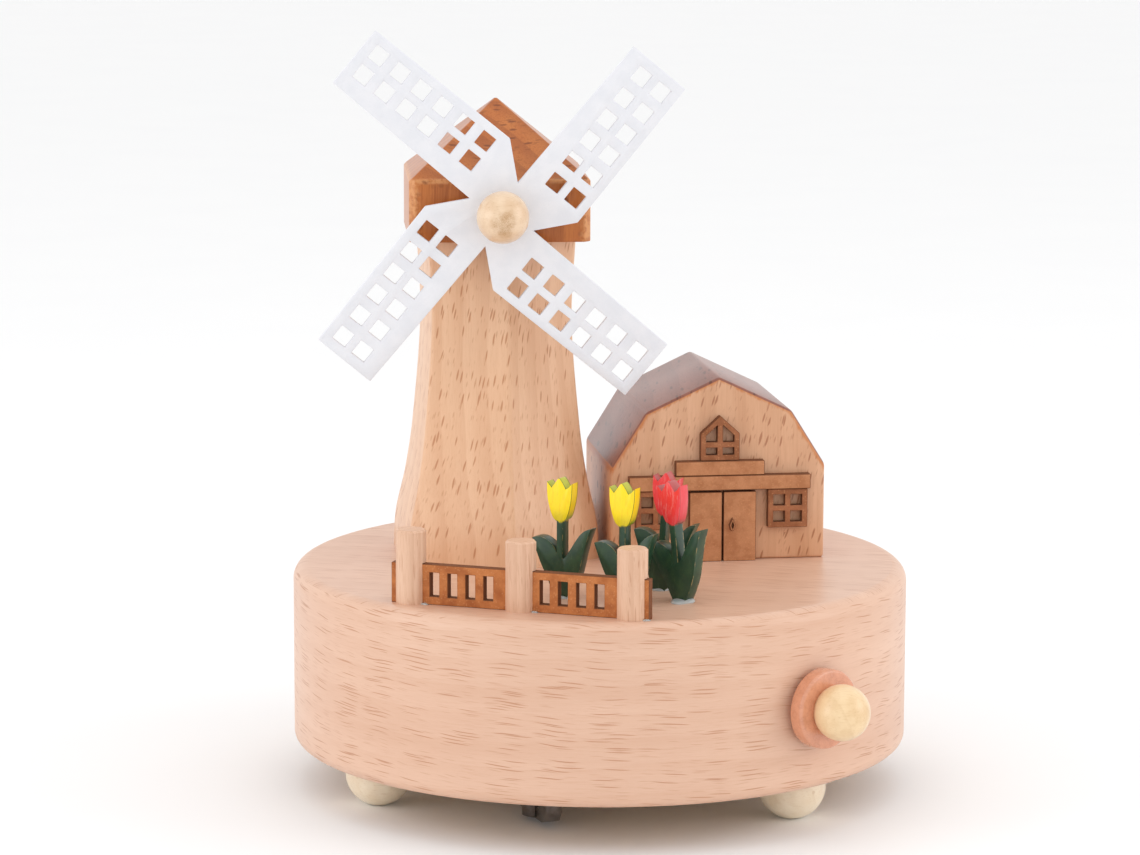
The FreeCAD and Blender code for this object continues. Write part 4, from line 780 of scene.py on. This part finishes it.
build_tower()
eased("tower_cap", CAP, 0.7, 3, "tower_cap_body", only=cap_edges)
eased("barn_block", BARN, 0.55, 3, "barn_body")
for node in ("barn_door_left", "barn_door_right", "barn_door_band", "barn_gable_lintel"):
    eased(node, TRIM, 0.13, 1, node + "_cut")
for node in ("barn_window_left", "barn_window_right", "barn_gable_window"):
    eased(node, WINDOW, 0.1, 1, node + "_cut")
eased("fence_panel", FENCE, 0.1, 1, "fence_panel_cut")
eased("sail_rotor", WHITE, 0.16, 2, "sail_rotor_painted", only=sail_edges)


def build_knob_disc():
    """The flat turned disc behind the knob's ball, bored for its spindle."""
    yaw = math.radians(KNOB_YAW)
    out = (math.cos(yaw), math.sin(yaw), 0.0)
    reach = (DRUM_R + KNOB_GAP) * MM
    origin = (reach * out[0], reach * out[1], KNOB_Z * MM)
    back, front = 0.4, 0.55
    rim = arc(KNOB_R - back, back, back, -90, 0, 5) + \
        arc(KNOB_R - front, KNOB_T - front, front, 0, 90, 5)
    bore = [(SPINDLE_R, KNOB_T), (SPINDLE_R, 0.0)]
    bm = lathe([(SPINDLE_R, 0.0)] + rim + bore, origin, out)
    bmesh.ops.remove_doubles(bm, verts=bm.verts, dist=1e-7)
    return finish_piece(bm, "knob_disc_turned", "knob", PINK, ("knob_disc",),
                        40)


build_knob_disc()
eased("winding_key", CHROME, 0.55, 3, "winding_key_cast", only=wing_edges)


# ------------------------------------------------------------------------------------------
# Tulips: sawn silhouettes with sanded rims
# ------------------------------------------------------------------------------------------
# Smooth runs of the outline between its sharp corners, (across, up) from the foot
TULIP_RUNS = (
    ((1.2, 0.0), (2.5, 1.7), (3.9, 4.8), (4.9, 8.8), (5.7, 11.5), (6.5, 13.6)),
    ((6.5, 13.6), (5.4, 13.3), (4.1, 12.2), (2.6, 10.0), (1.2, 7.9), (0.6, 7.5)),
    ((0.6, 7.5), (0.6, 11.0), (0.6, 14.6)),
    ((0.6, 14.6), (1.35, 15.2), (1.95, 16.9), (2.4, 19.2), (2.55, 21.9)),
    ((2.55, 21.9), (1.9, 21.2), (1.25, 20.8)),
    ((1.25, 20.8), (0.6, 21.9), (-0.2, 22.75), (-1.0, 21.8), (-1.7, 20.9)),
    ((-1.7, 20.9), (-2.2, 21.5), (-2.65, 22.0)),
    ((-2.65, 22.0), (-2.6, 19.4), (-2.1, 17.0), (-1.4, 15.3), (-0.6, 14.6)),
    ((-0.6, 14.6), (-0.6, 11.5), (-0.6, 8.5)),
    ((-0.6, 8.5), (-1.6, 10.1), (-3.1, 11.1), (-4.5, 11.4), (-5.8, 11.1)),
    ((-5.8, 11.1), (-5.0, 8.9), (-3.85, 6.1), (-2.4, 3.2), (-1.2, 0.0)))


def build_tulip(node, at, yaw, lean, material):
    """A sawn silhouette, leaned over above its foot, with lightly sanded rims."""
    outline = []
    for run in TULIP_RUNS:
        outline += spline(run, 4)
    outline.append((-1.2, 0.0))
    tilt = math.radians(lean)
    points = []
    for x, z in outline:
        ground = min(max(z, 0.0) / 1.5, 1.0)
        px = x * math.cos(tilt) + z * math.sin(tilt)
        pz = z * math.cos(tilt) - x * math.sin(tilt)
        points.append((x + (px - x) * ground, z + (pz - z) * ground))
    bm = bmesh.new()
    front = [bm.verts.new((x * MM, -TULIP_HALF * MM, z * MM)) for x, z in points]
    back = [bm.verts.new((x * MM, TULIP_HALF * MM, z * MM)) for x, z in points]
    bm.faces.new(front)
    bm.faces.new(list(reversed(back)))
    for i in range(len(points)):
        j = (i + 1) % len(points)
        bm.faces.new((front[j], front[i], back[i], back[j]))
    bmesh.ops.recalc_face_normals(bm, faces=bm.faces)
    rims = [e for e in bm.edges if abs(e.verts[0].co.y - e.verts[1].co.y) < 1e-9]
    bmesh.ops.bevel(bm, geom=rims, offset=0.14 * MM, segments=2, profile=0.5, affect="EDGES",
                    clamp_overlap=True)
    for vert in bm.verts:
        vert.co.z = max(vert.co.z, 0.01 * MM)
    bm.transform(Matrix.Translation(Vector((at[0] * MM, at[1] * MM, DECK * MM))) @
                 Matrix.Rotation(math.radians(yaw), 4, "Z"))
    return finish_piece(bm, node + "_carved", "stand", material, (node,), 34)


YELLOW = dict(petal=srgb(255, 226, 12), petal_side=srgb(244, 204, 8),
              rim=srgb(58, 84, 30), streak=srgb(255, 206, 8), tip=srgb(156, 178, 44))
# The red blooms' pale pink streak colour is a painted highlight; the yellow blooms' streak is a
# deeper paint tone.
RED = dict(petal=srgb(240, 52, 56), petal_side=srgb(222, 74, 84), rim=srgb(196, 66, 68),
           streak=srgb(242, 138, 134), tip=srgb(168, 88, 84))
TULIPS = (("tulip_yellow_left", (-9.7, -34.5), -31.0, 0.0, YELLOW),
          ("tulip_yellow_right", (1.5, -40.7), -31.0, 0.0, YELLOW),
          ("tulip_red_front", (12.4, -40.0), -42.0, -6.5, RED),
          ("tulip_red_rear", (9.3, -28.8), -26.0, 4.0, RED))
for node, at, yaw, lean, paints in TULIPS:
    build_tulip(node, at, yaw, lean, tulip_paint(node + "_paint", at, yaw, **paints))


# ------------------------------------------------------------------------------------------
# Dried glue where small parts meet the deck
# ------------------------------------------------------------------------------------------
def glue_blob(name, x, y, wide, deep, tall, yaw, seed):
    """A squashed drop with an uneven skirt, sitting on the deck."""
    rng = random.Random(seed)
    bm = bmesh.new()
    bmesh.ops.create_icosphere(bm, subdivisions=3, radius=1.0)
    phases = [rng.uniform(0, 6.28) for _ in range(4)]
    turn = Matrix.Rotation(math.radians(yaw), 3, "Z")
    for vert in bm.verts:
        a = math.atan2(vert.co.y, vert.co.x)
        swell = 1 + 0.16 * math.sin(2 * a + phases[0]) + 0.1 * math.sin(3 * a + phases[1]) \
            + 0.05 * math.sin(5 * a + phases[2] + 3 * vert.co.z)
        p = turn @ Vector((vert.co.x * wide * swell, vert.co.y * deep * swell, 0))
        z = max(vert.co.z, -0.02) * tall * (1 + 0.15 * math.sin(2 * a + phases[3]))
        vert.co = Vector(((x + p.x) * MM, (y + p.y) * MM, (DECK + max(z, 0.01)) * MM))
    return finish_piece(bm, name, "stand", GLUE, limit=60)


for number, (node, at, yaw, lean, paints) in enumerate(TULIPS):
    swell = 1.35 if node == "tulip_red_front" else 1.0
    glue_blob("glue_" + node, at[0], at[1], 1.9 * swell, 1.9 * swell, 0.7 * swell, yaw,
              40 + number)
for number in range(3):
    run = POST_PITCH * number + 3.0
    a = math.radians(FENCE_YAW)
    glue_blob("glue_post_%d" % number, FENCE_AT[0] + run * math.cos(a) - 0.35,
              FENCE_AT[1] + run * math.sin(a) - 1.05, 0.7, 0.5, 0.3, FENCE_YAW, 60 + number)


# ------------------------------------------------------------------------------------------
# Floor, light and camera
# ------------------------------------------------------------------------------------------
def stage_material():
    """A pale floor, very slightly uneven."""
    g = Graph("studio_floor")
    speck = g.noise(g.place, 0.02, 2.0, 0.5)
    colour = g.blend(speck, (0.93, 0.93, 0.935, 1.0), (0.95, 0.95, 0.95, 1.0))
    return g.finish(colour, 0.7, Specular_IOR_Level=0.1)


floor_mesh = bpy.data.meshes.new("floor")
bm = bmesh.new()
bmesh.ops.create_grid(bm, x_segments=1, y_segments=1, size=6.0)
bm.to_mesh(floor_mesh)
bm.free()
floor_mesh.materials.append(stage_material())
floor = bpy.data.objects.new("floor", floor_mesh)
bpy.context.scene.collection.objects.link(floor)

world = bpy.data.worlds.new("studio")
world.use_nodes = True
world.node_tree.nodes["Background"].inputs["Color"].default_value = (1.0, 1.0, 1.0, 1.0)
world.node_tree.nodes["Background"].inputs["Strength"].default_value = 1.0
bpy.context.scene.world = world


def soft_light(name, place, aim, size, power):
    """A rectangular area light, aimed at a point; metres and watts."""
    light = bpy.data.lights.new(name, "AREA")
    light.shape = "RECTANGLE"
    light.size, light.size_y = size
    light.energy = power
    lamp = bpy.data.objects.new(name, light)
    lamp.location = place
    lamp.rotation_mode = "QUATERNION"
    lamp.rotation_quaternion = (Vector(aim) - Vector(place)).to_track_quat("-Z", "Y")
    bpy.context.scene.collection.objects.link(lamp)


soft_light("left_box", (-0.8, -0.25, 0.35), (0, 0, 0.06), (0.5, 0.6), 1.4)
soft_light("right_box", (0.8, -0.2, 0.35), (0, 0, 0.06), (0.5, 0.6), 1.5)
soft_light("top_box", (0.0, -0.1, 0.9), (0, 0, 0.05), (0.6, 0.6), 0.4)

IMAGE_WIDTH = 1140
eye = bpy.data.cameras.new("eye")
eye.sensor_width = 36.0
eye.lens = 129.45
eye.shift_x = -24.0 / IMAGE_WIDTH
eye.shift_y = 11.1 / IMAGE_WIDTH
eye.clip_start, eye.clip_end = 0.01, 20.0
camera = bpy.data.objects.new("eye", eye)
pitch, heading, roll = (math.radians(v) for v in (9.54, 4.365, 0.22))
ahead = Vector((math.sin(heading) * math.cos(pitch), math.cos(heading) * math.cos(pitch),
                -math.sin(pitch)))
side = Vector((math.cos(heading), -math.sin(heading), 0))
above = side.cross(ahead)
side, above = (side * math.cos(roll) + above * math.sin(roll),
               above * math.cos(roll) - side * math.sin(roll))
camera.matrix_world = Matrix.Translation((-0.06132, -0.7870, 0.2007)) @ \
    Matrix((side, above, -ahead)).transposed().to_4x4()
bpy.context.scene.collection.objects.link(camera)
bpy.context.scene.camera = camera
bpy.context.scene.view_settings.view_transform = "Standard"
